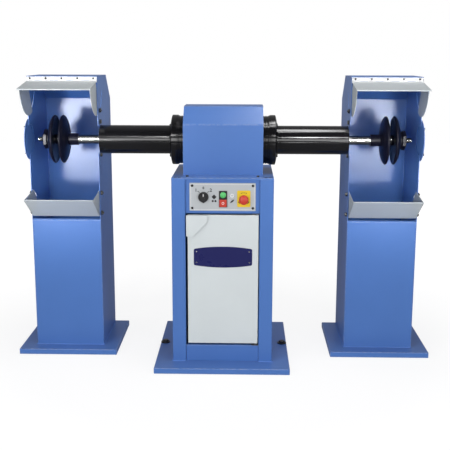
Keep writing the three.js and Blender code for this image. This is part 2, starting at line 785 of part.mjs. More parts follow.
const visorSlot = () => slotOutline(visorPivotY, visorPivotZ, visorStudRadius, visorStudBack,
  visorStudBack + visorTravel, studRadius + slotGap);
const scoopSlot = () => slotOutline(scoopPivotY, scoopPivotZ, scoopSlotRadius, halfTurn - scoopTravel,
  halfTurn, studRadius + slotGap);

function hoodWall(side, name, low) {
  const high = low + hoodSheet;
  const topBack = hoodFront + hoodTopDepth;
  const outline = [
    [hoodFront, pieceFloor], [hoodBack, pieceFloor], [hoodBack, hoodTop - hoodBackDrop],
    [topBack, hoodTop], [hoodFront, hoodTop],
  ];
  const from = low - cutOverrun;
  const to = high + cutOverrun;
  const notch = rod(tubeRadius + notchGap, wideSides, alongX, from, to, spindleLine);
  const pivotHole = rod(studRadius + slotGap, smallSides, alongX, from, to, [0, scoopPivotY, scoopPivotZ]);
  const wall = prism(outline, alongX, low, high)
    .subtract(notch)
    .subtract(prism(visorSlot(), alongX, from, to))
    .subtract(prism(scoopSlot(), alongX, from, to))
    .subtract(pivotHole);
  addSided(side, name, wall, blueEnamel);
}

function hoodShell(side) {
  const topBack = hoodFront + hoodTopDepth;
  const path = [
    [hoodFront, visorPivotZ], [hoodFront, hoodTop], [topBack, hoodTop],
    [hoodBack, hoodTop - hoodBackDrop], [hoodBack, pieceFloor],
  ];
  const sheet = prism(bentSheet(path.reverse(), hoodSheet), alongX, insideLow, insideHigh);
  const ductEnd = hoodBack + ductFlangeThickness;
  const centre = [hoodCentre, 0, ductHeight];
  const flange = rod(ductFlangeRadius, wideSides, alongY, hoodBack - hoodSheet / 2, ductEnd, centre);
  const bore = rod(ductBoreRadius, wideSides, alongY, hoodBack - hoodSheet - cutOverrun,
    ductEnd + cutOverrun, centre);
  addSided(side, 'hood_shell', sheet.add(flange).subtract(bore), blueEnamel);

  const panelPath = [[hoodFront + panelReturn, panelTop], [hoodFront, panelTop], [hoodFront, pieceFloor]];
  const panel = prism(bentSheet(panelPath, hoodSheet), alongX, insideLow, insideHigh);
  addSided(side, 'pedestal_front_panel', panel, blueEnamel);
}

function endCover(side) {
  const low = hoodOuter + fitGap;
  const cover = rod(endCoverRadius, wideSides, alongX, low, low + endCoverThickness, spindleLine);
  addSided(side, 'end_cover', cover, blueEnamel);
}

function pedestalBase(side) {
  const half = hoodWidth / 2 + pedestalBaseMargin;
  const plate = block(hoodCentre - half, hoodCentre + half, spindleY - pedestalFrontReach,
    hoodBack + pedestalBackMargin, 0, baseThickness);
  addSided(side, 'pedestal_base_plate', plate, blueEnamel);
}

// A knuckle's place along the hinge: even ones belong to the leaf, odd ones to the visor
function knucklePlaces(parity) {
  const pitch = visorWidth / knuckleCount;
  const first = hoodCentre - visorWidth / 2;
  const places = [];
  for (let i = parity; i < knuckleCount; i += 2) {
    const low = i === 0 ? first : first + i * pitch + knuckleGap / 2;
    const high = i === knuckleCount - 1 ? first + visorWidth : first + (i + 1) * pitch - knuckleGap / 2;
    places.push([low, high]);
  }
  return places;
}

function visorHinge(side) {
  const back = hoodFront - fitGap;
  const front = back - leafThickness;
  const low = hoodCentre - visorWidth / 2;
  const high = hoodCentre + visorWidth / 2;
  const line = [0, visorPivotY, visorPivotZ];
  let leaf = block(low, high, front, back, visorPivotZ + knuckleRadius + knuckleGap, leafTop);
  for (const [from, to] of knucklePlaces(0)) {
    leaf = leaf.add(block(from, to, front, back, visorPivotZ, visorPivotZ + 2 * knuckleRadius));
    leaf = leaf.add(rod(knuckleRadius, smallSides, alongX, from, to, line));
  }
  leaf = leaf.add(rod(hingePinRadius, smallSides, alongX, low, high, line));
  addSided(side, 'visor_hinge', leaf, whiteEnamel);
}

function stud(y, z, low, high) {
  return rod(studRadius, smallSides, alongX, low, high, [0, y, z]);
}

// Studs on both cheeks, each reaching out through the wall beside it
function studPair(y, z) {
  const outer = stud(y, z, cheekHigh - cheekSheet, hoodOuter + studProud);
  return stud(y, z, hoodInner - studProud, cheekLow + cheekSheet).add(outer);
}

function visor(side) {
  const line = [0, visorPivotY, visorPivotZ];
  const low = hoodCentre - visorWidth / 2;
  const high = hoodCentre + visorWidth / 2;
  const flapAngle = visorSlope - 90;
  const hemAngle = flapAngle + THREE.MathUtils.radToDeg(visorHem / visorReach);
  const rootRadius = knuckleRadius + knuckleGap;
  const path = [
    fromDown(visorPivotY, visorPivotZ, visorReach, hemAngle),
    fromDown(visorPivotY, visorPivotZ, visorReach, flapAngle),
    fromDown(visorPivotY, visorPivotZ, rootRadius, flapAngle),
  ];
  let shape = prism(bentSheet(path, visorSheet), alongX, low, high);

  const knuckleBore = rod(hingePinRadius + fitGap, smallSides, alongX, low - cutOverrun,
    high + cutOverrun, line);
  const tab = bentSheet([
    fromDown(visorPivotY, visorPivotZ, 2 * rootRadius, flapAngle),
    fromDown(visorPivotY, visorPivotZ, hingePinRadius, flapAngle),
  ], visorSheet);
  for (const [from, to] of knucklePlaces(1)) {
    shape = shape.add(rod(knuckleRadius, smallSides, alongX, from, to, line).add(
      prism(tab, alongX, from, to)));
  }
  shape = shape.subtract(knuckleBore);

  const steps = 12;
  const apexRadius = rootRadius + knuckleRadius;
  const cheek = [
    ...arc(visorPivotY, visorPivotZ, visorCheekRadius, flapAngle, visorCheekBack, steps),
    ...arc(visorPivotY, visorPivotZ, apexRadius, visorCheekBack, flapAngle, 2),
  ];
  const [studY, studZ] = fromDown(visorPivotY, visorPivotZ, visorStudRadius, visorStudBack);
  shape = shape.add(prism(cheek, alongX, cheekLow, cheekLow + cheekSheet));
  shape = shape.add(prism(cheek, alongX, cheekHigh - cheekSheet, cheekHigh));
  shape = shape.add(studPair(studY, studZ));
  addSided(side, 'visor', shape, visorGrey);
}

function scoop(side) {
  const foot = [hoodFront - scoopSheet, scoopPivotZ - scoopFootDrop];
  const lip = [hoodFront - scoopLipReach, scoopPivotZ + scoopLipHeight];
  const hem = [lip[0] + scoopHem, lip[1] + scoopHem / 2];
  const panel = prism(bentSheet([foot, lip, hem].reverse(), scoopSheet), alongX, cheekLow, cheekHigh);
  const cheek = [
    foot, [scoopPivotY + scoopHeelBack, scoopPivotZ - scoopFootDrop],
    [scoopPivotY + scoopRearBack, scoopPivotZ + scoopRearHeight],
    [scoopPivotY + scoopCrownBack, scoopPivotZ + scoopCrownHeight], lip,
  ];
  const shape = panel
    .add(prism(cheek, alongX, cheekLow, cheekLow + cheekSheet))
    .add(prism(cheek, alongX, cheekHigh - cheekSheet, cheekHigh))
    .add(studPair(scoopPivotY, scoopPivotZ))
    .add(studPair(scoopPivotY, scoopPivotZ + scoopSlotRadius));
  addSided(side, 'scoop', shape, visorGrey);
}

function electricalPieces() {
  const wall = cabinetBack - 2 * cabinetSheet - fitGap;
  const plateBack = wall - fitGap;
  const plateFront = plateBack - plateThickness;
  const plate = block(-plateWidth / 2, plateWidth / 2, plateFront, plateBack,
    plateFoot, plateFoot + plateHeight);
  addPiece('electrical_plate', plate, panelGrey);

  const rear = plateFront - fitGap;
  const top = contactorFoot + contactorHeight;
  const housing = block(-contactorWidth / 2, contactorWidth / 2, rear - contactorDepth + contactorStep,
    rear, contactorFoot, top);
  const nose = block(-contactorWidth / 2, contactorWidth / 2, rear - contactorDepth, rear,
    contactorFoot + contactorStep, top - contactorStep);
  addPiece('motor_contactor', housing.add(nose), blackPlastic);

  const outside = cabinetBack - cabinetSheet;
  const end = outside + glandFlange + glandNose;
  const gland = turned([
    [wall - glandInside, glandBoreRadius], [wall - glandInside, glandThreadRadius],
    [outside, glandThreadRadius], [outside, glandRadius], [outside + glandFlange, glandRadius],
    [end - glandFlange, glandThreadRadius + glandFlange / 2], [end, glandThreadRadius],
    [end, glandBoreRadius],
  ], roundSides, alongY, [glandX, 0, glandZ]);
  addPiece('cable_gland', gland, blackPlastic);
}

motorPedestalBase();
cabinetShell();
controlZone();
selectorKnob();
twinPushButton();
emergencyStop();
door();
headCover();
motorStator();
spindle();
electricalPieces();
for (const side of [-1, 1]) {
  spindleHousing(side);
  wheelFlanges(side);
  pedestalBase(side);
  hoodWall(side, 'hood_inner_wall', hoodInner);
  hoodWall(side, 'hood_outer_wall', hoodOuter - hoodSheet);
  hoodShell(side);
  endCover(side);
  visorHinge(side);
  visor(side);
  scoop(side);
}

export default machine;
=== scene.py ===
import json
import math
import random

import bmesh
import bpy
from bpy.props import (
    FloatProperty, FloatVectorProperty, IntProperty, PointerProperty,
)
from bpy.types import Operator, Panel, PropertyGroup
from mathutils import Matrix, Vector


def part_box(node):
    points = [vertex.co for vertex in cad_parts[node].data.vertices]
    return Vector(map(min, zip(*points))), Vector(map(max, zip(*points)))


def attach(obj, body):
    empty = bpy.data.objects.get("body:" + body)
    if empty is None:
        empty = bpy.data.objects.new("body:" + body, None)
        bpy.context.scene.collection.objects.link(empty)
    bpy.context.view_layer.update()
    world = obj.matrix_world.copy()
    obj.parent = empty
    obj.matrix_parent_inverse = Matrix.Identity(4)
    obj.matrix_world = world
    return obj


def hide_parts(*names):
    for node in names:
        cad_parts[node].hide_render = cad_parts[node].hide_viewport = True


bl_info = {
    "name": "Buffing Machine",
    "version": (1, 0, 0),
    "blender": (4, 5, 0),
    "location": "View3D > Sidebar > Buffing Machine",
    "description": "Builds the pieces, finishes and stage of a floor-standing buffing machine",
    "category": "Object",
}

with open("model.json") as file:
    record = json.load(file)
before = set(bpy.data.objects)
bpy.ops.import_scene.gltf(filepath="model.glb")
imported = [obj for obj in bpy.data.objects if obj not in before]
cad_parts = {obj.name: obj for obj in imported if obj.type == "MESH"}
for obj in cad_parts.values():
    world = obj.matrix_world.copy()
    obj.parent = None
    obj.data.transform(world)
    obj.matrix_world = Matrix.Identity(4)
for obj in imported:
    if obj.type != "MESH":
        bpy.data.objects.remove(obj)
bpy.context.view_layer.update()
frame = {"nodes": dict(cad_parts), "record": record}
SIDES = ("left", "right")

# Where things are, from the frame, in metres. Shapes are drawn for the right side.
SPINDLE_LOW, SPINDLE_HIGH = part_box("main_spindle")
SPINDLE_Y, SPINDLE_Z = ((SPINDLE_LOW[i] + SPINDLE_HIGH[i]) / 2 for i in (1, 2))
SPINDLE_LINE = (0, SPINDLE_Y, SPINDLE_Z)
WALL_LOW, WALL_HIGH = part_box("right_hood_inner_wall")
OUTER_LOW, OUTER_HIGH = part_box("right_hood_outer_wall")
HOOD_FRONT, HOOD_BACK, HOOD_TOP, HOOD_FOOT = WALL_LOW.y, WALL_HIGH.y, WALL_HIGH.z, WALL_LOW.z
HOOD_MIDDLE = (WALL_LOW.x + OUTER_HIGH.x) / 2
HOOD_TOP_BACK = HOOD_FRONT + 0.235
HOOD_SLOPE_FOOT = HOOD_TOP - 0.1096
HOOD_LIP = HOOD_TOP - 0.0236
DUCT_Z, DUCT_BORE, DUCT_RING = 0.470, 0.0622, 0.004
CABINET_LOW, CABINET_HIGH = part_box("right_cabinet_side")
CABINET_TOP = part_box("cabinet_top_plate")[1].z
PANEL_LOW, PANEL_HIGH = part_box("control_panel")
DOOR_LOW, DOOR_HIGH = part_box("front_door")
SHEET = 0.003
THIN_SHEET = 0.002
GAP = 0.0003

# The visor turns on its hinge, the scoop on its lower studs: (y, z)
VISOR_PIVOT = (HOOD_FRONT - 0.005, HOOD_LIP)
SCOOP_PIVOT = (HOOD_FRONT + 0.022, 0.636)
VISOR_STUD_RADIUS, VISOR_STUD_ANGLE, VISOR_TRAVEL = 0.132, 18.0, 50.0
SCOOP_SLOT_RADIUS, SCOOP_TRAVEL = 0.090, 45.0
SLOT_HALF = 0.0047
TUBE_RADIUS, DRUM_DEPTH, BEARING_SEAT = 0.06175, 0.0307, 0.0363
NOTCH_RADIUS = TUBE_RADIUS + 0.0014

# A printed mark lies between MARK_REST and MARK_HEIGHT in front of its face. One that is let
# into its piece stands MARK_PROUD of it.
MARK_HEIGHT, MARK_REST, MARK_EDGE, MARK_PROUD = 0.0003, 0.00002, 0.00008, 0.00005
WASHER = 0.0016  # the usual thickness of a washer


# ---------------------------------------------------------------- settings

def colour_setting(name, note, default):
    """A colour that a user can change."""
    return FloatVectorProperty(name=name, description=note, subtype='COLOR', size=3, min=0.0,
                               max=1.0, default=default)


def length_setting(name, note, default):
    """A length in metres that a user can change."""
    return FloatProperty(name=name, description=note, default=default, min=0.0, unit='LENGTH',
                         precision=4)


def lamp_setting(name, note, default):
    """A lamp's power in watts that a user can change."""
    return FloatProperty(name=name, description=note, default=default, min=0.0, subtype='POWER')


class SheetMetalSettings(PropertyGroup):
    """Bends, edges and welds of the sheet metal and plates."""
    bend_radius: length_setting("Bend radius", "Outside radius of a fold in the sheets", 0.004)
    column_bend: length_setting("Column bend", "Radius at the top of a pedestal's front panel",
                                0.0085)
    edge_round: length_setting("Sheet edge", "Rounding of a cut sheet edge", 0.0006)
    plate_round: length_setting("Plate edge", "Rounding of the thick base plates", 0.003)
    weld_radius: length_setting("Weld bead", "Radius of the weld beads at the feet", 0.0026)
    fold_steps: IntProperty(name="Fold steps", description="Facets across one fold", default=5,
                            min=1)
    round_steps: IntProperty(name="Round steps", description="Facets around a large turned piece",
                             default=80, min=12)


class FastenerSettings(PropertyGroup):
    """Sizes of the nuts, screws and bolts."""
    nut_across: length_setting("Nut", "Across the flats of a clamping nut", 0.016)
    nut_height: length_setting("Nut height", "Height of a clamping nut", 0.0072)
    washer_radius: length_setting("Washer", "Radius of the washer under a clamping nut", 0.0110)
    hinge_screw: length_setting("Hinge screw", "Head radius of a hinge screw", 0.0046)
    panel_screw: length_setting("Panel screw", "Head radius of a control panel screw", 0.0058)
    anchor_washer: length_setting("Anchor washer", "Radius of an anchor bolt's washer", 0.0205)
    anchor_across: length_setting("Anchor bolt", "Across the flats of an anchor bolt", 0.024)


class FinishSettings(PropertyGroup):
    """Colours of the finishes and how used they look."""
    blue: colour_setting("Blue enamel", "Pedestals, hoods and covers", (0.070, 0.172, 0.475))
    black: colour_setting("Black enamel", "Motor ends and spindle tubes", (0.004, 0.004, 0.005))
    flange: colour_setting("Flange enamel", "Discs and nuts on the spindle", (0.006, 0.006, 0.014))
    white: colour_setting("Door enamel", "Door and its pull", (0.600, 0.645, 0.660))
    hinge: colour_setting("Hinge leaf", "Bright leaf of the piano hinge", (0.560, 0.570, 0.580))
    grey: colour_setting("Visor enamel", "Visors and scoops", (0.410, 0.445, 0.465))
    panel: colour_setting("Control panel", "Face of the control panel", (0.440, 0.465, 0.485))
    plate: colour_setting("Name plate", "Bare plate on the door", (0.016, 0.018, 0.100))
    red: colour_setting("Red", "Stop buttons", (0.540, 0.042, 0.022))
    green: colour_setting("Green", "Start button", (0.085, 0.480, 0.135))
    yellow: colour_setting("Yellow", "Plate behind the emergency stop", (0.760, 0.520, 0.010))
    # How pale the edges are painted: rubbed paint, and a painted highlight along the edges and
    # folds of the enamel
    edge_wear_and_sheen: FloatProperty(name="Edge wear and sheen", description="How far the paint is rubbed at its edges",
                        default=0.5, min=0.0, max=1.0, subtype='FACTOR')
    dust: FloatProperty(name="Dust", description="Dust that has settled on upward faces",
                        default=0.06, min=0.0, max=1.0, subtype='FACTOR')


class StageSettings(PropertyGroup):
    """Camera and lamps."""
    lens: FloatProperty(name="Lens", description="Focal length on a 36 mm sensor, in millimetres",
                        default=67.54, min=1.0)
    camera_place: FloatVectorProperty(
        name="Camera", description="Where the camera stands", size=3, subtype='TRANSLATION',
        unit='LENGTH', default=(0.09141, -3.70644, 1.33646))
    camera_turn: FloatVectorProperty(
        name="Camera turn", description="Yaw, pitch down and roll", size=3, subtype='EULER',
        unit='ROTATION', default=tuple(math.radians(turn) for turn in (1.33, 11.51, 0.13)))
    front_power: lamp_setting("Front lamps", "Power of each softbox beside the camera", 21.5)
    side_power: lamp_setting("Side lamps", "Power of each large softbox at the sides", 42.0)
    hood_power: lamp_setting("Hood lamps", "Power of each small lamp mirrored in a hood", 0.52)
    spot_power: lamp_setting("Hood spots", "Power of each narrow beam into a hood", 200.0)
    top_power: lamp_setting("Top lamp", "Power of the overhead softboxes", 13.0)
    key_power: lamp_setting("Key lamp", "Power of the small lamp at the upper left", 18.0)
    ambient: FloatProperty(name="Ambient", description="Even light from all round", default=0.26,
                           min=0.0)
    floor_glow: FloatProperty(name="Floor light", description="Even light from the pale floor",
                              default=0.5, min=0.0)


SETTINGS = {
    "buffing_sheet": SheetMetalSettings,
    "buffing_fasteners": FastenerSettings,
    "buffing_finish": FinishSettings,
    "buffing_stage": StageSettings,
}


def sheet_settings():
    return bpy.context.scene.buffing_sheet


def fastener_settings():
    return bpy.context.scene.buffing_fasteners


def finish_settings():
    return bpy.context.scene.buffing_finish


# ---------------------------------------------------------------- shapes

# Faces painted paler at their edges and folds: rubbed paint, and a painted highlight along them
WEAR_AND_SHEEN_LAYER = "wear_and_sheen_edge"
SMOOTH_BELOW = math.radians(35)
ORIGIN = (0, 0, 0)


def blank():
    """An empty mesh whose faces can say how pale their edges are painted, for wear and for a
    painted highlight.
    """
    bm = bmesh.new()
    bm.faces.layers.float.new(WEAR_AND_SHEEN_LAYER)
    return bm


def place(axis, along, a, b):
    """A point from its distance along an axis and its place across it."""
    return {"X": (along, a, b), "Y": (a, along, b), "Z": (a, b, along)}[axis]


def new_verts(result):
    return [item for item in result["geom"] if isinstance(item, bmesh.types.BMVert)]


def round_edges(bm, edges, radius, segments, wear_and_sheen=1.0):
    """Bevels some edges and says how pale the new faces are painted: wear, and a painted highlight
    along edges and folds.
    """
    made = bmesh.ops.bevel(bm, geom=edges, offset=radius, offset_type='OFFSET', affect='EDGES',
                           segments=segments, profile=0.5, material=-1, clamp_overlap=True)
    pale_edge = bm.faces.layers.float[WEAR_AND_SHEEN_LAYER]
    for face in made["faces"]:
        face[pale_edge] = wear_and_sheen
    return bm


def soften(bm, radius, segments=2, sharper_than=0.6):
    """Rounds every edge that is sharper than an angle in radians."""
    bm.normal_update()
    edges = [e for e in bm.edges if len(e.link_faces) == 2 and e.calc_face_angle(0) > sharper_than]
    return round_edges(bm, edges, radius, segments)


def sharp_box(low, high):
    bm = blank()
    bmesh.ops.create_cube(bm, size=1.0)
    low, high = Vector(low), Vector(high)
    bmesh.ops.scale(bm, vec=high - low, verts=bm.verts[:])
    bmesh.ops.translate(bm, vec=(high + low) / 2, verts=bm.verts[:])
    return bm


def rounded_box(low, high, radius, segments=3):
    return soften(sharp_box(low, high), radius, segments)


def turned(profile, axis="X", centre=ORIGIN, steps=None, edge=0.0006, ring=False):
    """A profile of (along, radius) points spun round an axis line."""
    bm = blank()
    centre = Vector(centre)
    verts = [bm.verts.new(Vector(place(axis, along, 0, radius)) + centre)
             for along, radius in profile]
    pairs = list(zip(verts, verts[1:]))
    if ring:
        pairs.append((verts[-1], verts[0]))
    edges = [bm.edges.new(pair) for pair in pairs]
    bmesh.ops.spin(bm, geom=verts + edges, cent=centre, axis=place(axis, 1, 0, 0), angle=math.tau,
                   steps=steps or sheet_settings().round_steps, use_merge=True)
    bmesh.ops.remove_doubles(bm, verts=bm.verts[:], dist=1e-6)
    bmesh.ops.recalc_face_normals(bm, faces=bm.faces[:])
    return soften(bm, edge, 2, 0.4) if edge else bm


def on_spindle(profile, **options):
    """A turned ring or rod on the spindle's line."""
    return turned(profile, "X", SPINDLE_LINE, **options)


def rod(first, last, radius, axis="X", centre=SPINDLE_LINE, **options):
    """A round bar from first to last along an axis."""
    profile = [(first, 0), (first, radius), (last, radius), (last, 0)]
    return turned(profile, axis, centre, **options)


def pipe(first, last, radius, bore, axis="X", centre=SPINDLE_LINE, **options):
    """A round bar with a bore through it."""
    profile = [(first, bore), (first, radius), (last, radius), (last, bore)]
    return turned(profile, axis, centre, ring=True, **options)


def circle_points(a, b, radius, count):
    angles = [i * math.tau / count for i in range(count)]
    return [(a + radius * math.cos(t), b + radius * math.sin(t)) for t in angles]


def oblong(half_a, half_b):
    """The corners of a rectangle round the origin."""
    return [(-half_a, -half_b), (half_a, -half_b), (half_a, half_b), (-half_a, half_b)]


def front_corners(low, high, margin=0.0):
    """The (x, z) corners of a box seen from the front, moved in by a margin."""
    return [(low.x + margin, low.z + margin), (high.x - margin, low.z + margin),
            (high.x - margin, high.z - margin), (low.x + margin, high.z - margin)]


def from_down(pivot, radius, degrees):
    """A (y, z) point at a radius, at an angle from straight down, positive to the back."""
    angle = math.radians(degrees)
    return pivot[0] + radius * math.sin(angle), pivot[1] - radius * math.cos(angle)


def arc_points(pivot, radius, first, last, steps):
    return [from_down(pivot, radius, first + (last - first) * i / steps) for i in range(steps + 1)]


def slot_points(pivot, radius, first, last, half):
    """A curved slot with round ends."""
    outer = arc_points(pivot, radius + half, first, last, 20)
    inner = arc_points(pivot, radius - half, last, first, 20)
    far_cap = arc_points(from_down(pivot, radius, last), half, last, last + 180, 8)[1:-1]
    near_cap = arc_points(from_down(pivot, radius, first), half, first - 180, first, 8)[1:-1]
    return outer + far_cap + inner + near_cap


def beside(path, distance):
    """The path moved sideways to its right, with its corners mitred."""
    points = [Vector(p) for p in path]
    runs = [(b - a).normalized() for a, b in zip(points, points[1:])]
    rights = [Vector((run.y, -run.x)) for run in runs]
    moved = []
    for i, point in enumerate(points):
        before, after = rights[max(i - 1, 0)], rights[min(i, len(rights) - 1)]
        middle = (before + after).normalized()
        moved.append(tuple(point + middle * distance / middle.dot(after)))
    return moved


def cut_hole(bm, centre, radius):
    """Opens a round hole in the largest face across Y of a sheet that has no thickness yet."""
    bm.normal_update()
    face = max((f for f in bm.faces if abs(f.normal.y) > 0.99), key=lambda f: f.calc_area())
    outward = face.normal.copy()
    rim = face.edges[:]
    bmesh.ops.delete(bm, geom=[face], context='FACES_ONLY')
    spot = Matrix.Translation(centre) @ Matrix.Rotation(math.pi / 2, 4, 'X')
    round_rim = bmesh.ops.create_circle(bm, cap_ends=False, segments=sheet_settings().round_steps,
                                        radius=radius, matrix=spot)
    hole = list(dict.fromkeys(edge for vert in round_rim["verts"] for edge in vert.link_edges))
    filled = bmesh.ops.triangle_fill(bm, use_beauty=True, use_dissolve=False, edges=rim + hole)
    made = [item for item in filled["geom"] if isinstance(item, bmesh.types.BMFace)]
    bm.normal_update()
    turned_in = [f for f in made if f.normal.dot(outward) < 0]
    if turned_in:
        bmesh.ops.reverse_faces(bm, faces=turned_in)


def folded_sheet(path, axis, low, high, thickness=SHEET, bend=None, hole=None, wear_and_sheen=0.0):
    """A sheet bent along a path of its outer face. Its thickness is to the path's right."""
    settings = sheet_settings()
    bm = blank()
    verts = [bm.verts.new(place(axis, low, a, b)) for a, b in path]
    edges = [bm.edges.new(pair) for pair in zip(verts, verts[1:])]
    grown = bmesh.ops.extrude_edge_only(bm, edges=edges)
    bmesh.ops.translate(bm, verts=new_verts(grown), vec=place(axis, high - low, 0, 0))
    bm.normal_update()
    (a0, b0), (a1, b1) = path[:2]
    inward = Vector(place(axis, 0, b1 - b0, a0 - a1))
    if edges[0].link_faces[0].normal.dot(inward) > 0:
        bmesh.ops.reverse_faces(bm, faces=bm.faces[:])
    folds = [e for e in bm.edges if len(e.link_faces) == 2]
    # The folds are painted paler by this share: a painted highlight along each bend, and wear
    round_edges(bm, folds, bend or settings.bend_radius, settings.fold_steps, wear_and_sheen)
    if hole:
        cut_hole(bm, *hole)
    bm.normal_update()
    bmesh.ops.solidify(bm, geom=bm.faces[:], thickness=thickness)
    return soften(bm, settings.edge_round)


def cut_plate(outline, holes, axis, low, high, edge=None, segments=2):
    """A flat plate with an outline and holes, from low to high along an axis."""
    bm = blank()
    for loop in (outline, *holes):
        verts = [bm.verts.new(place(axis, low, a, b)) for a, b in loop]
        for pair in zip(verts, verts[1:] + verts[:1]):
            bm.edges.new(pair)
    bmesh.ops.triangle_fill(bm, use_beauty=True, use_dissolve=False, edges=bm.edges[:])
    raised = bmesh.ops.extrude_face_region(bm, geom=bm.faces[:])
    bmesh.ops.translate(bm, verts=new_verts(raised), vec=place(axis, high - low, 0, 0))
    bmesh.ops.recalc_face_normals(bm, faces=bm.faces[:])
    return soften(bm, sheet_settings().edge_round if edge is None else edge, segments)


def short_curve(start, corner, end, steps):
    """Points from start to end that bend towards a corner."""
    shares = [k / steps for k in range(steps + 1)]
    return [tuple(start.lerp(corner, t).lerp(corner.lerp(end, t), t)) for t in shares]


def rounded_corners(points, radius, steps=6):
    """A closed outline with each corner replaced by a short curve."""
    smooth = []
    count = len(points)
    for i in range(count):
        before, here, after = (Vector(points[(i + k) % count]) for k in (-1, 0, 1))
        reach = min(radius, (before - here).length / 2.05, (after - here).length / 2.05)
        start = here + (before - here).normalized() * reach
        end = here + (after - here).normalized() * reach
        smooth += short_curve(start, here, end, steps)
    return smooth


def joined(*meshes):
    """Several closed shapes in one mesh."""
    first = meshes[0]
    for other in meshes[1:]:
        holder = bpy.data.meshes.new("joining")
        other.to_mesh(holder)
        other.free()
        first.from_mesh(holder)
        bpy.data.meshes.remove(holder)
    return first


def mirrored(bm):
    """The same shape for the left side."""
    bmesh.ops.scale(bm, vec=(-1, 1, 1), verts=bm.verts[:])
    bmesh.ops.recalc_face_normals(bm, faces=bm.faces[:])
    return bm


def facing(point, direction, turn=0.0):
    """Sets a tool that points up at a point, facing a direction."""
    aim = Vector(direction).to_track_quat('Z', 'Y').to_matrix().to_4x4()
    return Matrix.Translation(point) @ aim @ Matrix.Rotation(turn, 4, 'Z')


def round_about(axis, along, middle, radius, count, first=0.0):
    """Places on a circle across an axis, facing along it. The first is a share of one step on."""
    spots = []
    for i in range(count):
        angle = math.tau * (i + first) / count
        point = place(axis, along, middle[0] + radius * math.sin(angle),
                      middle[1] + radius * math.cos(angle))
        spots.append(facing(point, place(axis, 1, 0, 0)))
    return spots


def stamped(tool, places):
    """One small shape repeated at several places, as one mesh."""
    holder = bpy.data.meshes.new("stamp")
    tool.to_mesh(holder)
    tool.free()
    bm = blank()
    for spot in places:
        start = len(bm.verts)
        bm.from_mesh(holder)
        bm.verts.ensure_lookup_table()
        bmesh.ops.transform(bm, matrix=spot, verts=bm.verts[start:])
    bpy.data.meshes.remove(holder)
    return bm


# ---------------------------------------------------------------- small tools that point up

def hex_shape(across, height, bore=0.0):
    """A hexagon with its corners turned down, as on a nut or a bolt head."""
    corner = across / math.sqrt(3)
    dome = corner - across / 2
    profile = [(0, bore), (0, corner - dome / 2), (dome / 3, corner), (height - dome / 3, corner),
               (height, corner - dome), (height, bore)]
    return turned(profile, "Z", steps=6, edge=0.0005, ring=bool(bore))


def nut_on_stud(stud_radius, reach):
    """A washer and a nut with the stud's end standing out of them."""
    sizes = fastener_settings()
    bore = stud_radius * 0.9
    nut = hex_shape(sizes.nut_across, sizes.nut_height, bore=bore)
    bmesh.ops.translate(nut, vec=(0, 0, WASHER), verts=nut.verts[:])
    chamfer = 0.001
    end = turned([(0, 0), (0, stud_radius), (reach - chamfer, stud_radius),
                  (reach, stud_radius - chamfer), (reach, 0)], "Z", steps=24, edge=0.0002)
    washer = pipe(0, WASHER, sizes.washer_radius, bore, "Z", ORIGIN, steps=32, edge=0.0003)
    return joined(washer, nut, end)


def bolt_shape(across, head, washer_radius, washer=WASHER):
    """A hexagon head on a washer."""
    top = hex_shape(across, head)
    bmesh.ops.translate(top, vec=(0, 0, washer), verts=top.verts[:])
    return joined(rod(0, washer, washer_radius, "Z", ORIGIN, steps=32, edge=0.0003), top)


def button_screw(radius, height):
    """A low domed head with a hexagon socket."""
    dome = [(height * math.sin(t), radius * math.cos(t)) for t in (0.25, 0.6, 0.95, 1.2)]
    socket = radius * 0.45
    head = turned([(0, 0), (0, radius), *dome, (height, socket * 1.1), (height, 0)], "Z", steps=32,
                  edge=0.0)
    lid = [f for f in head.faces if min(v.co.z for v in f.verts) > height * 0.999]
    bmesh.ops.dissolve_faces(head, faces=lid, use_verts=False)
    flat = max(head.faces, key=lambda f: f.calc_center_median().z)
    bmesh.ops.inset_region(head, faces=[flat], thickness=socket * 0.15, use_even_offset=True)
    grown = bmesh.ops.extrude_discrete_faces(head, faces=[flat])
    bmesh.ops.translate(head, vec=(0, 0, -height * 0.6), verts=list(grown["faces"][0].verts))
    return head


def socket_screw(radius, height):
    """A cylinder head with a round recess."""
    recess, floor = radius * 0.55, height * 0.55
    return turned([(0, 0), (0, radius), (height, radius), (height, recess), (floor, recess),
                   (floor, 0)], "Z", steps=32, edge=0.0004)


def rivet_shape(radius, height):
    dome = [(height * math.sin(t), radius * math.cos(t)) for t in (0.3, 0.7, 1.1)]
    return turned([(0, 0), (0, radius), *dome, (height, 0)], "Z", steps=24, edge=0.0)


def weld_bead(start, end, seed, radius=None):
    """An uneven bead along a straight seam."""
    radius = radius or sheet_settings().weld_radius
    start, end = Vector(start), Vector(end)
    run = end - start
    steps = max(8, int(run.length / 0.0035))
    chance = random.Random(seed)
    bm = blank()
    aim = facing(start, run)
    bmesh.ops.create_circle(bm, cap_ends=True, segments=8, radius=radius, matrix=aim)
    face = bm.faces[:][0]
    size = 1.0
    for i in range(steps):
        grown = bmesh.ops.extrude_discrete_faces(bm, faces=[face])
        face = grown["faces"][0]
        bmesh.ops.translate(bm, vec=run / steps, verts=face.verts[:])
        wanted = (0.82, 1.08)[i % 2] * chance.uniform(0.92, 1.08)
        middle = start + run * (i + 1) / steps
        bmesh.ops.scale(bm, vec=(wanted / size,) * 3, space=Matrix.Translation(-middle),
                        verts=face.verts[:])
        size = wanted
    bmesh.ops.holes_fill(bm, edges=[e for e in bm.edges if e.is_boundary], sides=0)
    bmesh.ops.recalc_face_normals(bm, faces=bm.faces[:])
    return bm


def weld_reach():
    """How far a bead's middle stands off the sheet that it follows."""
    return sheet_settings().weld_radius * 0.3


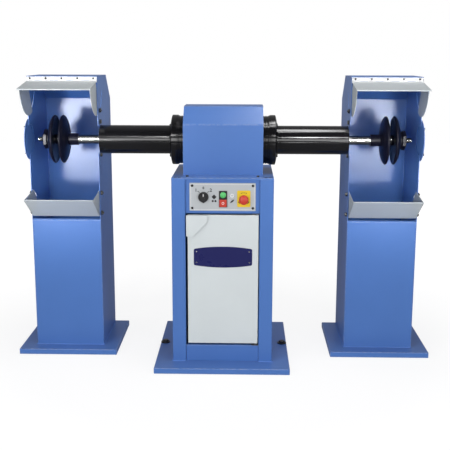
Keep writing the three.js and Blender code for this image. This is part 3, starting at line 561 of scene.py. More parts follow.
def numeral(text, size, point):
    """A generic character standing on a face that looks to the front."""
    curve = bpy.data.curves.new("numeral", 'FONT')
    boldness = 0.0005
    curve.body, curve.size, curve.extrude, curve.offset = text, size, MARK_HEIGHT, boldness
    curve.align_x, curve.align_y = 'CENTER', 'CENTER'
    holder = bpy.data.objects.new("numeral", curve)
    bm = blank()
    flat = holder.to_mesh()
    bm.from_mesh(flat)
    holder.to_mesh_clear()
    bpy.data.objects.remove(holder)
    bpy.data.curves.remove(curve)
    bmesh.ops.remove_doubles(bm, verts=bm.verts[:], dist=1e-6)
    stand = Matrix.Translation(point) @ Matrix.Rotation(math.pi / 2, 4, 'X')
    bmesh.ops.transform(bm, matrix=stand, verts=bm.verts[:])
    return bm


# ---------------------------------------------------------------- finishes

def add(tree, kind, inputs=None, **options):
    """A node with its options set, and its inputs set or linked."""
    made = tree.nodes.new(kind)
    for name, value in options.items():
        setattr(made, name, value)
    for name, value in (inputs or {}).items():
        if isinstance(value, bpy.types.NodeSocket):
            tree.links.new(value, made.inputs[name])
        else:
            made.inputs[name].default_value = value
    return made


def effect(name, inputs, *outputs):
    """An empty shader node group with its sockets, as (tree, given values, results)."""
    kinds = {"value": 'NodeSocketFloat', "colour": 'NodeSocketColor', "vector": 'NodeSocketVector'}
    tree = bpy.data.node_groups.new(name, 'ShaderNodeTree')
    for label, kind, default in inputs:
        socket = tree.interface.new_socket(name=label, in_out='INPUT', socket_type=kinds[kind])
        socket.default_value = default
    for label, kind in outputs:
        tree.interface.new_socket(name=label, in_out='OUTPUT', socket_type=kinds[kind])
    given = tree.nodes.new('NodeGroupInput').outputs
    results = tree.nodes.new('NodeGroupOutput').inputs
    return tree, given, results


def maths(tree, operation, *values, clamp=False):
    made = add(tree, 'ShaderNodeMath', dict(enumerate(values)), operation=operation)
    made.use_clamp = clamp
    return made.outputs[0]


def stretched(tree, value, low, high, to_low=0.0, to_high=1.0):
    made = add(tree, 'ShaderNodeMapRange', {"Value": value, "From Min": low, "From Max": high,
                                            "To Min": to_low, "To Max": to_high})
    return made.outputs["Result"]


def end_in_bump(tree, height, given, results):
    """Ends an effect in a bump as deep as its Depth."""
    bump = add(tree, 'ShaderNodeBump', {"Height": height, "Distance": given["Depth"],
                                        "Strength": 1.0})
    tree.links.new(bump.outputs["Normal"], results["Normal"])


def end_in_mask(tree, mask, given, results):
    """Ends an effect in a mask, scaled by its Amount."""
    scaled = maths(tree, 'MULTIPLY', mask, given["Amount"], clamp=True)
    tree.links.new(scaled, results["Mask"])


def object_place(tree):
    return tree.nodes.new('ShaderNodeTexCoord').outputs["Object"]


def length_of(tree, vector):
    return add(tree, 'ShaderNodeVectorMath', {0: vector}, operation='LENGTH').outputs["Value"]


def noise(tree, vector, scale, detail=2.0, roughness=0.5):
    made = add(tree, 'ShaderNodeTexNoise', {"Vector": vector, "Scale": scale, "Detail": detail,
                                            "Roughness": roughness})
    return made.outputs["Fac"]


def paint_relief_effect():
    """The slight orange peel of sprayed enamel."""
    tree, given, results = effect(
        "Paint relief", [("Scale", "value", 260.0), ("Depth", "value", 0.00003)],
        ("Normal", "vector"))
    spot = object_place(tree)
    fine = noise(tree, spot, given["Scale"], 1.5)
    broad = noise(tree, spot, 34.0, 2.0)
    height = maths(tree, 'ADD', maths(tree, 'MULTIPLY', broad, 1.6), fine)
    end_in_bump(tree, height, given, results)


def uneven_tone_effect():
    """A colour that is a little lighter and darker from place to place."""
    tree, given, results = effect(
        "Uneven tone", [("Colour", "colour", (0.5, 0.5, 0.5, 1.0)), ("Amount", "value", 0.05),
                        ("Scale", "value", 6.0)], ("Colour", "colour"))
    cloud = noise(tree, object_place(tree), given["Scale"], 4.0, 0.6)
    low = maths(tree, 'SUBTRACT', 1.0, given["Amount"])
    high = maths(tree, 'ADD', 1.0, given["Amount"])
    value = stretched(tree, cloud, 0.3, 0.7, low, high)
    made = add(tree, 'ShaderNodeHueSaturation', {"Color": given["Colour"], "Value": value})
    tree.links.new(made.outputs["Color"], results["Colour"])


def edge_wear_and_sheen_effect():
    """Paler rounded edges, broken up by noise: rubbed paint, and a painted highlight along edges
    and folds.
    """
    tree, given, results = effect(
        "Edge wear and sheen", [("Amount", "value", 0.3), ("Scale", "value", 60.0)], ("Mask", "value"))
    exposed = add(tree, 'ShaderNodeAttribute', attribute_name=WEAR_AND_SHEEN_LAYER, attribute_type='GEOMETRY')
    edge = exposed.outputs["Fac"]
    cloud = noise(tree, object_place(tree), given["Scale"], 4.0, 0.65)
    broken = stretched(tree, cloud, 0.34, 0.60)
    end_in_mask(tree, maths(tree, 'MULTIPLY', edge, broken), given, results)


def settled_dust_effect():
    """Fine dust on faces that look up."""
    tree, given, results = effect(
        "Settled dust", [("Amount", "value", 0.1), ("Scale", "value", 18.0)], ("Mask", "value"))
    coordinates = tree.nodes.new('ShaderNodeTexCoord')
    parts = add(tree, 'ShaderNodeSeparateXYZ', {"Vector": coordinates.outputs["Normal"]}).outputs
    lying = stretched(tree, parts["Z"], 0.6, 1.0)
    cloud = noise(tree, coordinates.outputs["Object"], given["Scale"], 5.0, 0.7)
    patchy = stretched(tree, cloud, 0.35, 0.75, 0.25, 1.0)
    end_in_mask(tree, maths(tree, 'MULTIPLY', lying, patchy), given, results)


def smudges_effect():
    """Roughness that changes where hands and cloths have been."""
    tree, given, results = effect(
        "Smudges", [("Roughness", "value", 0.3), ("Change", "value", 0.06),
                    ("Scale", "value", 5.0)], ("Roughness", "value"))
    cloud = noise(tree, object_place(tree), given["Scale"], 5.0, 0.62)
    change = maths(tree, 'MULTIPLY', stretched(tree, cloud, 0.3, 0.7, -1.0, 1.0), given["Change"])
    changed = maths(tree, 'ADD', given["Roughness"], change, clamp=True)
    tree.links.new(changed, results["Roughness"])


def turning_lines_effect():
    """Fine rings left by the lathe, round the spindle's line."""
    tree, given, results = effect(
        "Turning lines", [("Spacing", "value", 900.0), ("Depth", "value", 0.00001)],
        ("Normal", "vector"), ("Mask", "value"))
    centred = add(tree, 'ShaderNodeMapping', {"Vector": object_place(tree),
                                              "Location": (0.0, -SPINDLE_Y, -SPINDLE_Z)})
    parts = add(tree, 'ShaderNodeSeparateXYZ', {"Vector": centred.outputs["Vector"]}).outputs
    across = add(tree, 'ShaderNodeCombineXYZ', {"Y": parts["Y"], "Z": parts["Z"]})
    radius = length_of(tree, across.outputs["Vector"])
    along = maths(tree, 'MULTIPLY', maths(tree, 'ADD', parts["X"], radius), given["Spacing"])
    lines = add(tree, 'ShaderNodeTexNoise', {"W": along, "Scale": 1.0, "Detail": 2.0},
                noise_dimensions='1D').outputs["Fac"]
    end_in_bump(tree, lines, given, results)
    tree.links.new(stretched(tree, lines, 0.35, 0.65), results["Mask"])


def moulded_grain_effect():
    """The fine texture of moulded plastic and stamped metal."""
    tree, given, results = effect(
        "Moulded grain", [("Scale", "value", 900.0), ("Depth", "value", 0.00002)],
        ("Normal", "vector"))
    end_in_bump(tree, noise(tree, object_place(tree), given["Scale"], 2.0, 0.6), given, results)


def fine_scratches_effect():
    """Thin scratches that run across a face, as a mask."""
    tree, given, results = effect(
        "Fine scratches", [("Scale", "value", 1.0), ("Amount", "value", 0.5)], ("Mask", "value"))
    thin = add(tree, 'ShaderNodeMapping', {"Vector": object_place(tree),
                                           "Rotation": (0.4, 0.9, 0.3),
                                           "Scale": (14.0, 420.0, 60.0)})
    lines = noise(tree, thin.outputs["Vector"], given["Scale"], 3.0, 0.7)
    end_in_mask(tree, stretched(tree, lines, 0.62, 0.7), given, results)


EFFECTS = (paint_relief_effect, uneven_tone_effect, edge_wear_and_sheen_effect, settled_dust_effect,
           smudges_effect, turning_lines_effect, moulded_grain_effect, fine_scratches_effect)


def placed(tree, name, **values):
    """A shared effect set into a material with its own values."""
    made = tree.nodes.new('ShaderNodeGroup')
    made.node_tree = bpy.data.node_groups[name]
    for label, value in values.items():
        made.inputs[label].default_value = value
    return made.outputs


def new_finish(name, **sockets):
    """A material with its shader, as (tree, shader). Even values are set on the shader itself."""
    material = bpy.data.materials.get(name) or bpy.data.materials.new(name)
    material.use_nodes = True
    tree = material.node_tree
    tree.nodes.clear()
    shader = tree.nodes.new('ShaderNodeBsdfPrincipled')
    output = tree.nodes.new('ShaderNodeOutputMaterial')
    tree.links.new(shader.outputs["BSDF"], output.inputs["Surface"])
    for label, value in sockets.items():
        shader.inputs[label.replace("_", " ")].default_value = value
    return tree, shader


def wire(tree, shader, base, gloss, normal):
    """Feeds what changes over the surface into the shader."""
    for label, value in (("Base Color", base), ("Roughness", gloss), ("Normal", normal)):
        tree.links.new(value, shader.inputs[label])


def blended(tree, mask, first, second):
    made = tree.nodes.new('ShaderNodeMix')
    made.data_type = 'RGBA'
    sockets = {"Factor": made.inputs[0], "A": made.inputs[6], "B": made.inputs[7]}
    for key, value in (("Factor", mask), ("A", first), ("B", second)):
        if isinstance(value, bpy.types.NodeSocket):
            tree.links.new(value, sockets[key])
        else:
            sockets[key].default_value = value
    return made.outputs[2]


DUST_TONE = (0.42, 0.42, 0.44, 1.0)


def toned(colour, share=1.0, lift=0.0):
    """A colour scaled and lifted, with its alpha."""
    return (*(min(1.0, c * share + lift) for c in colour), 1.0)


def painted(name, colour, roughness, depth=0.00003, scale=260.0, pale_edge=None, edge_wear_and_sheen=1.0, dust=1.0,
            tone=0.05, change=0.05, shine=0.5):
    """Sprayed enamel: orange peel, a shift of tone, smudges, paler edges that are both rubbed paint
    and a painted highlight, and dust.
    """
    used = finish_settings()
    tree, shader = new_finish(name, Specular_IOR_Level=shine)
    base = placed(tree, "Uneven tone", Colour=toned(colour), Amount=tone, Scale=5.0)["Colour"]
    wear_and_sheen = placed(tree, "Edge wear and sheen", Amount=used.edge_wear_and_sheen * edge_wear_and_sheen, Scale=70.0)["Mask"]
    # An edge without a colour of its own is painted a paler tone of the paint: a painted highlight
    # along edges and folds, as well as wear
    base = blended(tree, wear_and_sheen, base, toned(pale_edge) if pale_edge else toned(colour, 0.5, 0.26))
    powder = placed(tree, "Settled dust", Amount=used.dust * dust, Scale=22.0)["Mask"]
    base = blended(tree, powder, base, DUST_TONE)
    gloss = placed(tree, "Smudges", Roughness=roughness, Change=change, Scale=6.0)["Roughness"]
    gloss = maths(tree, 'ADD', gloss, maths(tree, 'MULTIPLY', powder, 0.6), clamp=True)
    relief = placed(tree, "Paint relief", Scale=scale, Depth=depth)["Normal"]
    wire(tree, shader, base, gloss, relief)


def machined(name, colour, roughness, spacing=900.0):
    """Turned or ground steel with lathe lines and fine scratches."""
    tree, shader = new_finish(name, Metallic=1.0)
    lines = placed(tree, "Turning lines", Spacing=spacing, Depth=0.00001)
    scratches = placed(tree, "Fine scratches", Scale=1.0, Amount=0.35)["Mask"]
    base = placed(tree, "Uneven tone", Colour=toned(colour), Amount=0.06, Scale=24.0)["Colour"]
    grooves = maths(tree, 'MULTIPLY', lines["Mask"], 0.35)
    base = blended(tree, grooves, base, toned(colour, 0.75))
    gloss = placed(tree, "Smudges", Roughness=roughness, Change=0.05, Scale=30.0)["Roughness"]
    gloss = maths(tree, 'ADD', gloss, maths(tree, 'MULTIPLY', scratches, 0.25), clamp=True)
    wire(tree, shader, base, gloss, lines["Normal"])


def moulded(name, colour, roughness):
    """Plastic with a moulded grain."""
    tree, shader = new_finish(name)
    base = placed(tree, "Uneven tone", Colour=toned(colour), Amount=0.04, Scale=40.0)["Colour"]
    wear_and_sheen = placed(tree, "Edge wear and sheen", Amount=0.35, Scale=160.0)["Mask"]
    base = blended(tree, wear_and_sheen, base, toned(colour, 1.3, 0.03))
    gloss = placed(tree, "Smudges", Roughness=roughness, Change=0.05, Scale=40.0)["Roughness"]
    grain = placed(tree, "Moulded grain", Scale=900.0, Depth=0.00002)["Normal"]
    wire(tree, shader, base, gloss, grain)


def stacked_steel(name, colour):
    """The thin steel sheets of a motor core, seen as lines across the spindle."""
    tree, shader = new_finish(name, Metallic=0.9)
    lines = placed(tree, "Turning lines", Spacing=2400.0, Depth=0.00012)
    base = blended(tree, lines["Mask"], toned(colour), toned(colour, 0.45))
    gloss = placed(tree, "Smudges", Roughness=0.55, Change=0.08, Scale=30.0)["Roughness"]
    wire(tree, shader, base, gloss, lines["Normal"])


def build_finishes():
    used = finish_settings()
    for make in EFFECTS:
        make()
    painted("blue_enamel", used.blue, 0.30, depth=0.000015, scale=240.0, tone=0.025, change=0.02,
            shine=0.4)
    painted("weld_enamel", toned(used.blue, 1.25)[:3], 0.38, depth=0.0002, scale=420.0, edge_wear_and_sheen=0.0)
    painted("black_enamel", used.black, 0.14, depth=0.000003, scale=300.0,
            pale_edge=(0.02, 0.02, 0.025), dust=0.05, tone=0.2, change=0.02)
    painted("flange_enamel", used.flange, 0.32, depth=0.000004, scale=300.0,
            pale_edge=(0.02, 0.02, 0.03), dust=0.05, tone=0.2, shine=0.15)
    painted("white_enamel", used.white, 0.36, depth=0.000025, pale_edge=(0.80, 0.83, 0.84), dust=0.3,
            tone=0.02)
    painted("hinge_enamel", used.hinge, 0.30, depth=0.00001, pale_edge=(0.90, 0.90, 0.90), dust=0.1,
            tone=0.02)
    painted("visor_grey", used.grey, 0.36, depth=0.000006, pale_edge=(0.72, 0.74, 0.76), edge_wear_and_sheen=2.0,
            dust=0.4, tone=0.03, change=0.02)
    painted("name_plate_enamel", used.plate, 0.30, depth=0.000008, pale_edge=(0.30, 0.32, 0.45),
            dust=0.1, tone=0.03, shine=0.2)
    painted("panel_grey", used.panel, 0.42, depth=0.00001, scale=900.0, pale_edge=(0.75, 0.76, 0.77),
            dust=0.1, tone=0.03)
    painted("yellow_plastic", used.yellow, 0.38, depth=0.00001, pale_edge=(0.95, 0.80, 0.30), dust=0.1,
            tone=0.02)
    painted("black_fastener", (0.012, 0.012, 0.014), 0.30, depth=0.00001,
            pale_edge=(0.12, 0.12, 0.13), dust=0.2, tone=0.1)
    painted("white_ink", (0.80, 0.80, 0.80), 0.5, depth=0.000005, edge_wear_and_sheen=0.0, dust=0.0, tone=0.02)
    painted("black_ink", (0.010, 0.010, 0.012), 0.45, depth=0.000005, edge_wear_and_sheen=0.0, dust=0.0, tone=0.1)
    machined("bright_steel", (0.40, 0.40, 0.395), 0.22)
    machined("plain_steel", (0.24, 0.245, 0.255), 0.42, spacing=500.0)
    stacked_steel("core_steel", (0.22, 0.23, 0.24))
    moulded("black_plastic", (0.013, 0.013, 0.015), 0.38)
    moulded("red_plastic", used.red, 0.34)
    moulded("green_plastic", used.green, 0.26)


def dress_frame():
    """Every CAD node gets its slot's finish."""
    for entry in frame["record"]["subparts"]:
        node = frame["nodes"][entry["node"]]
        material = bpy.data.materials[entry["material_slot"]]
        if not node.data.materials:
            node.data.materials.append(material)
        for i in range(len(node.data.materials)):
            node.data.materials[i] = material


def round_carried_nodes():
    """A fine rounding on the edges of the CAD nodes that are still shown."""
    for node in frame["nodes"].values():
        if node.hide_render:
            continue
        weld = node.modifiers.new("joined_corners", 'WELD')
        weld.merge_threshold = 0.00002
        bevel = node.modifiers.new("rounded_edges", 'BEVEL')
        bevel.width = 0.0005
        bevel.segments = 2
        bevel.limit_method = 'ANGLE'
        bevel.angle_limit = math.radians(40)
        shade = node.modifiers.new("even_shading", 'WEIGHTED_NORMAL')
        shade.keep_sharp = True


def finished(name, bm, body, finish, *stands_for):
    """Makes a piece of a mesh, gives it its finish and sets it on its body."""
    mesh = bpy.data.meshes.new(name)
    bm.to_mesh(mesh)
    bm.free()
    mesh.materials.append(bpy.data.materials[finish])
    mesh.shade_smooth()
    mesh.set_sharp_from_angle(angle=SMOOTH_BELOW)
    piece = bpy.data.objects.new(name, mesh)
    bpy.context.scene.collection.objects.link(piece)
    shade = piece.modifiers.new("even_shading", 'WEIGHTED_NORMAL')
    shade.keep_sharp = True
    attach(piece, body)
    if stands_for:
        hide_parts(*stands_for)
    return piece


def on_both_sides(name, shape, body, finish, *nodes):
    """The same piece on the left and the right. A body's name may hold {side}."""
    for side in SIDES:
        bm = shape()
        if side == "left":
            mirrored(bm)
        finished(f"{name}_{side}", bm, body.format(side=side), finish,
                 *(f"{side}_{node}" for node in nodes))


# ---------------------------------------------------------------- pieces: pedestals and cabinet

def build_base_plates():
    settings = sheet_settings()
    low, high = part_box("centre_base_plate")
    finished("centre_base", rounded_box(low, high, settings.plate_round), "machine", "blue_enamel",
             "centre_base_plate")
    low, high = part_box("right_pedestal_base_plate")
    on_both_sides("pedestal_base", lambda: rounded_box(low, high, settings.plate_round), "machine",
                  "blue_enamel", "pedestal_base_plate")
    build_anchor_bolts()


def build_anchor_bolts():
    sizes = fastener_settings()
    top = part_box("centre_base_plate")[1].z
    head, washer = 0.0085, 0.004
    bolt = bolt_shape(sizes.anchor_across, head, sizes.anchor_washer, washer)
    turn = Matrix.Rotation(0.35, 4, 'Z')
    spots = [Matrix.Translation((x, 0.008, top)) @ turn for x in (-0.268, 0.268)]
    finished("anchor_bolts", stamped(bolt, spots), "machine", "black_fastener")


COLUMN_RETURN = 0.020
BACK_RETURN = 0.016


def cabinet_side_shape():
    low, high = CABINET_LOW, CABINET_HIGH
    path = [(high.x - BACK_RETURN, high.y), (high.x, high.y), (high.x, low.y), (low.x, low.y),
            (low.x, low.y + COLUMN_RETURN)]
    return folded_sheet(path, "Z", low.z, high.z + GAP)


def lid_shape():
    """The cabinet's top plate, rounded only along its upper edges."""
    low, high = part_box("cabinet_top_plate")
    bm = sharp_box(low, high)
    upper = [e for e in bm.edges if min(v.co.z for v in e.verts) > (low.z + high.z) / 2]
    return round_edges(bm, upper, 0.0025, 4)


def build_cabinet():
    on_both_sides("cabinet_column", cabinet_side_shape, "machine", "blue_enamel", "cabinet_side")
    finished("cabinet_lid", lid_shape(), "machine", "blue_enamel", "cabinet_top_plate")
    low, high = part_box("cabinet_kick_rail")
    # Its fold is painted pale, a painted highlight along the bend
    kick = folded_sheet([(low.y, low.z), (low.y, high.z), (high.y, high.z)], "X", low.x, high.x,
                        wear_and_sheen=0.6)
    finished("kick_rail_sheet", kick, "machine", "blue_enamel", "cabinet_kick_rail")

    # Weld beads where the columns stand on their plate
    reach = weld_reach()
    front, foot, side = CABINET_LOW.y - reach, CABINET_LOW.z, CABINET_HIGH.x + reach
    on_both_sides("cabinet_weld", lambda: joined(
        weld_bead((CABINET_LOW.x, front, foot), (CABINET_HIGH.x, front, foot), 3),
        weld_bead((side, CABINET_LOW.y, foot), (side, CABINET_HIGH.y, foot), 4),
    ), "machine", "weld_enamel")

    # Two closing plugs of the lifting slots on each side of the lid
    plug = cut_plate(rounded_corners(oblong(0.006, 0.002), 0.0019), [], "Z", 0, 0.0012, 0.0003)
    spots = [Matrix.Translation((side * x, CABINET_LOW.y + 0.010, CABINET_TOP))
             for side in (-1, 1) for x in (0.181, 0.197)]
    finished("lid_slot_plugs", stamped(plug, spots), "machine", "black_plastic")

    # Screws that hold the back panel
    low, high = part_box("cabinet_back_panel")
    from_side, from_end = 0.024, 0.03
    spots = [facing((x, high.y, z), (0, 1, 0)) for x in (low.x + from_side, high.x - from_side)
             for z in (low.z + from_end, (low.z + high.z) / 2, high.z - from_end)]
    finished("back_panel_screws", stamped(button_screw(0.0052, 0.0026), spots), "machine",
             "black_fastener")


HEAD_TOP_REACH = 0.069
HEAD_SLOPE_FOOT = 1.043
HEAD_OPENING = 0.1075
HEAD_END_RECESS = 0.0012


def build_head_cover():
    low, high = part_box("head_cover")
    path = [(low.y, low.z), (low.y, HEAD_SLOPE_FOOT), (SPINDLE_Y - HEAD_TOP_REACH, high.z),
            (SPINDLE_Y + HEAD_TOP_REACH, high.z), (high.y, HEAD_SLOPE_FOOT), (high.y, low.z)]
    # Its folds are painted pale, a painted highlight along each bend
    finished("head_wrap", folded_sheet(path, "X", low.x, high.x, wear_and_sheen=0.6), "machine",
             "blue_enamel", "head_cover")

    outline = rounded_corners(beside(path, SHEET * 0.98), 0.002, 3)
    opening = circle_points(SPINDLE_Y, SPINDLE_Z, HEAD_OPENING, 96)
    end = high.x - HEAD_END_RECESS
    on_both_sides("head_end", lambda: cut_plate(outline, [opening], "X", end - SHEET, end),
                  "machine", "blue_enamel")

    low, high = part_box("head_front_flange")
    corners = [(low.x, low.y), (high.x, low.y), (high.x, high.y), (low.x, high.y)]
    finished("head_foot_flange", cut_plate(corners, [], "Z", low.z, high.z, 0.0009, 3), "machine",
             "blue_enamel", "head_front_flange")
    spots = [Matrix.Translation((x, low.y + 0.009, high.z)) for x in (-0.1475, 0.1475)]
    finished("head_screws", stamped(socket_screw(0.0062, 0.0055), spots), "machine",
             "black_fastener")


# ---------------------------------------------------------------- pieces: door

def build_front_door():
    bm = sharp_box(DOOR_LOW, DOOR_HIGH)
    bm.normal_update()
    back = [f for f in bm.faces if f.normal.y > 0.9]
    bmesh.ops.delete(bm, geom=back, context='FACES_ONLY')
    soften(bm, 0.0026, 4)
    bm.normal_update()
    bmesh.ops.solidify(bm, geom=bm.faces[:], thickness=THIN_SHEET)
    soften(bm, 0.0004, 2, 1.2)
    finished("door_panel", bm, "door", "white_enamel", "front_door")

    low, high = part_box("door_pull")
    short_side = 0.028
    pull = [(low.x, high.z), (high.x, high.z), (high.x, high.z - short_side),
            (low.x + short_side, low.z), (low.x, low.z)]
    plate = cut_plate(rounded_corners(pull, 0.002, 3), [], "Y", low.y, high.y, 0.0016, 3)
    finished("door_pull_plate", plate, "door", "white_enamel", "door_pull")
    build_name_plate()


def build_name_plate():
    """A bare plate whose long sides bow outward."""
    centre_x, centre_z = 0.0025, 0.4905
    half, side_half, crown = 0.1235, 0.0355, 0.0100
    steps, thickness, corner_radius = 24, 0.0016, 0.007
    shares = [1 - 2 * i / steps for i in range(steps + 1)]
    top = [(centre_x + half * share, centre_z + side_half + crown * (1 - share ** 2))
           for share in shares]
    outline = top + [(2 * centre_x - x, 2 * centre_z - z) for x, z in top]
    smooth = []
    for i, point in enumerate(outline):
        corner = i in (0, steps, steps + 1, 2 * steps + 1)
        smooth += corner_points(outline, i, corner_radius) if corner else [point]
    face, front = DOOR_LOW.y - GAP / 3, DOOR_LOW.y - thickness
    finished("name_plate", cut_plate(smooth, [], "Y", front, face, 0.0005), "door",
             "name_plate_enamel")
    spots = [facing((centre_x + dx, front, centre_z + dz), (0, -1, 0))
             for dx in (-0.112, 0.112) for dz in (-0.0235, 0.0235)]
    finished("name_plate_rivets", stamped(rivet_shape(0.0030, 0.0016), spots), "door",
             "bright_steel")


def corner_points(outline, index, radius, steps=5):
    """One corner of a finely stepped outline replaced by a short curve."""
    count = len(outline)
    before, here, after = (Vector(outline[(index + k) % count]) for k in (-1, 0, 1))
    start = here + (before - here).normalized() * min(radius, (before - here).length * 0.9)
    end = here + (after - here).normalized() * min(radius, (after - here).length * 0.9)
    return short_curve(start, here, end, steps)


# ---------------------------------------------------------------- pieces: controls

SELECTOR_X, SELECTOR_Z = -0.080, 0.747
TWIN_X = 0.0023
ESTOP_X, ESTOP_Z = 0.089, 0.737
ESTOP_BORE = 0.0115
DROP_RADIUS, DROP_POINT = 0.0215, 0.025


def build_control_panel():
    low, high = PANEL_LOW, PANEL_HIGH
    outline = rounded_corners(front_corners(low, high), 0.004)
    holes = [
        circle_points(SELECTOR_X, SELECTOR_Z, 0.0055, 24),
        circle_points(ESTOP_X, ESTOP_Z, ESTOP_BORE, 32),
        front_corners(*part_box("button_bezel"), 0.0027),
    ]
    finished("control_face", cut_plate(outline, holes, "Y", low.y, high.y, 0.0006), "machine",
             "panel_grey", "control_panel")
    spots = [facing((x, low.y, z), (0, -1, 0))
             for x in (-0.1272, 0.1272) for z in (0.6995, 0.7945)]
    finished("panel_screws", stamped(button_screw(fastener_settings().panel_screw, 0.0030), spots),
             "machine", "black_fastener")
    build_panel_marks(low.y)


def flat_mark(outline, face, holes=()):
    """A printed mark on a face that looks to the front."""
    return cut_plate(outline, holes, "Y", face - MARK_HEIGHT, face - MARK_REST, MARK_EDGE, 1)


def turned_mark(outline, degrees, x, z, face):
    """A printed mark, turned and set at a place of the panel."""
    cosine, sine = math.cos(math.radians(degrees)), math.sin(math.radians(degrees))
    moved = [(x + a * cosine - b * sine, z + a * sine + b * cosine) for a, b in outline]
    return flat_mark(moved, face)


def ring_mark(x, z, outer, inner, face):
    return flat_mark(circle_points(x, z, outer, 32), face, [circle_points(x, z, inner, 32)])


def build_panel_marks(face):
    """Generic marks: positions of the switch, and small signs beside the buttons."""
    front = face - MARK_HEIGHT
    tick, bar, knob, square = (oblong(*half_sizes) for half_sizes in (
        (0.0055, 0.0011), (0.0105, 0.0017), (0.0060, 0.0034), (0.0075, 0.0075)))
    ray = [(0.0095, -0.0008), (0.0115, -0.0008), (0.0115, 0.0008), (0.0095, 0.0008)]
    dark = joined(
        numeral("1", 0.019, (-0.111, front, 0.775)),
        numeral("2", 0.019, (-0.049, front, 0.775)),
        numeral("0", 0.014, (SELECTOR_X, front, 0.7845)),
        turned_mark(tick, -35, -0.1005, 0.7685, face),
        turned_mark(tick, 35, -0.0595, 0.7685, face),
        turned_mark(square, 45, -0.0355, 0.747, face),
        flat_mark(circle_points(-0.0410, 0.7295, 0.0046, 24), face),
        flat_mark(circle_points(-0.0295, 0.7295, 0.0046, 24), face),
        turned_mark(bar, 40, 0.0405, 0.729, face),
        turned_mark(knob, 40, 0.0405, 0.729, face),
        *(turned_mark(ray, turn, 0.0400, 0.7470, face) for turn in range(-70, 251, 40)),
    )
    finished("panel_marks_dark", dark, "machine", "black_ink")

    # A ring inside the rays, and a line a little inside the panel's edge
    edge, inner_edge = (rounded_corners(front_corners(PANEL_LOW, PANEL_HIGH, margin), 0.003)
                        for margin in (0.0052, 0.0064))
    light = joined(ring_mark(0.0400, 0.7530, 0.0075, 0.0048, face),
                   flat_mark(edge, face, [inner_edge]))
    finished("panel_marks_light", light, "machine", "white_ink")


def drop_outline(radius, point):
    """A round outline about the selector that runs to a point below, seen from the front."""
    tangent = math.degrees(math.acos(DROP_RADIUS / DROP_POINT))
    arc = arc_points((SELECTOR_X, SELECTOR_Z), radius, tangent, 360 - tangent, 48)
    return [(SELECTOR_X, SELECTOR_Z - point), *arc]


def build_selector():
    back = PANEL_LOW.y - GAP
    depth = 0.020
    skirt = cut_plate(drop_outline(DROP_RADIUS, DROP_POINT), [], "Y", back - depth * 0.55, back,
                      0.0014, 3)
    step = cut_plate(drop_outline(DROP_RADIUS - 0.0032, DROP_POINT - 0.0035), [], "Y",
                     back - depth * 0.68, back - depth * 0.5, 0.0012, 3)
    grip = [(SELECTOR_X + dx, SELECTOR_Z + dz)
            for dx, dz in ((-0.0065, 0.0172), (-0.0072, -0.010), (0, -0.0205), (0.0072, -0.010),
                           (0.0065, 0.0172))]
    handle = cut_plate(rounded_corners(grip, 0.004), [], "Y", back - depth, back - depth * 0.6,
                       0.0018, 3)
    shaft = rod(back - depth / 2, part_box("selector_knob")[1].y, 0.005, "Y",
                (SELECTOR_X, 0, SELECTOR_Z), steps=24)
    finished("selector_grip", joined(skirt, step, handle, shaft), "selector", "black_plastic",
             "selector_knob")
    front = back - depth
    index = rounded_box((SELECTOR_X - 0.0016, front - MARK_PROUD, SELECTOR_Z + 0.0040),
                        (SELECTOR_X + 0.0016, front + 0.0015, SELECTOR_Z + 0.0150), 0.0003, 2)
    finished("selector_index", index, "selector", "white_ink")


def build_push_buttons():
    low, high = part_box("button_bezel")
    start_low, start_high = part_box("start_button")
    stop_low, stop_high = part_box("stop_button")
    start_z, stop_z = (start_low.z + start_high.z) / 2, (stop_low.z + stop_high.z) / 2
    lens_radius, clearance = 0.0123, 0.0005
    holes = [circle_points(TWIN_X, start_z, lens_radius + clearance, 48),
             front_corners(stop_low, stop_high, -clearance)]
    plate_back = PANEL_LOW.y - GAP
    bezel = cut_plate(rounded_corners(front_corners(low, high), 0.0015), holes, "Y",
                      plate_back - 0.004, plate_back, 0.0006)
    inset = 0.003
    body = rounded_box((low.x + inset, plate_back - GAP, low.z + inset),
                       (high.x - inset, high.y, high.z - inset), 0.001)
    finished("button_frame", joined(bezel, body), "machine", "black_plastic", "button_bezel")

    face, back = start_low.y, start_high.y
    lens = turned([(face, 0), (face + 0.00035, 0.006), (face + 0.0014, 0.0105),
                   (face + 0.0026, lens_radius), (back, lens_radius), (back, 0)], "Y",
                  (TWIN_X, 0, start_z), steps=48, edge=0.0)
    finished("start_lens", lens, "start_button", "green_plastic", "start_button")

    # Pressed by its 4 mm of travel, the cap still ends in front of the panel's face
    cap_back, narrower = stop_low.y + 0.005, 0.005
    cap = rounded_box(stop_low, (stop_high.x, cap_back, stop_high.z), 0.0012)
    shank = rounded_box((stop_low.x + narrower, cap_back - 0.001, stop_low.z + narrower),
                        (stop_high.x - narrower, stop_high.y, stop_high.z - narrower), 0.0008)
    finished("stop_cap", joined(cap, shank), "stop_button", "red_plastic", "stop_button")
    outer, inner = (circle_points(TWIN_X, stop_z, radius, 40) for radius in (0.0052, 0.0034))
    ring = cut_plate(outer, [inner], "Y", stop_low.y - MARK_PROUD, stop_low.y + MARK_HEIGHT,
                     MARK_EDGE, 1)
    finished("stop_mark", ring, "stop_button", "white_ink")


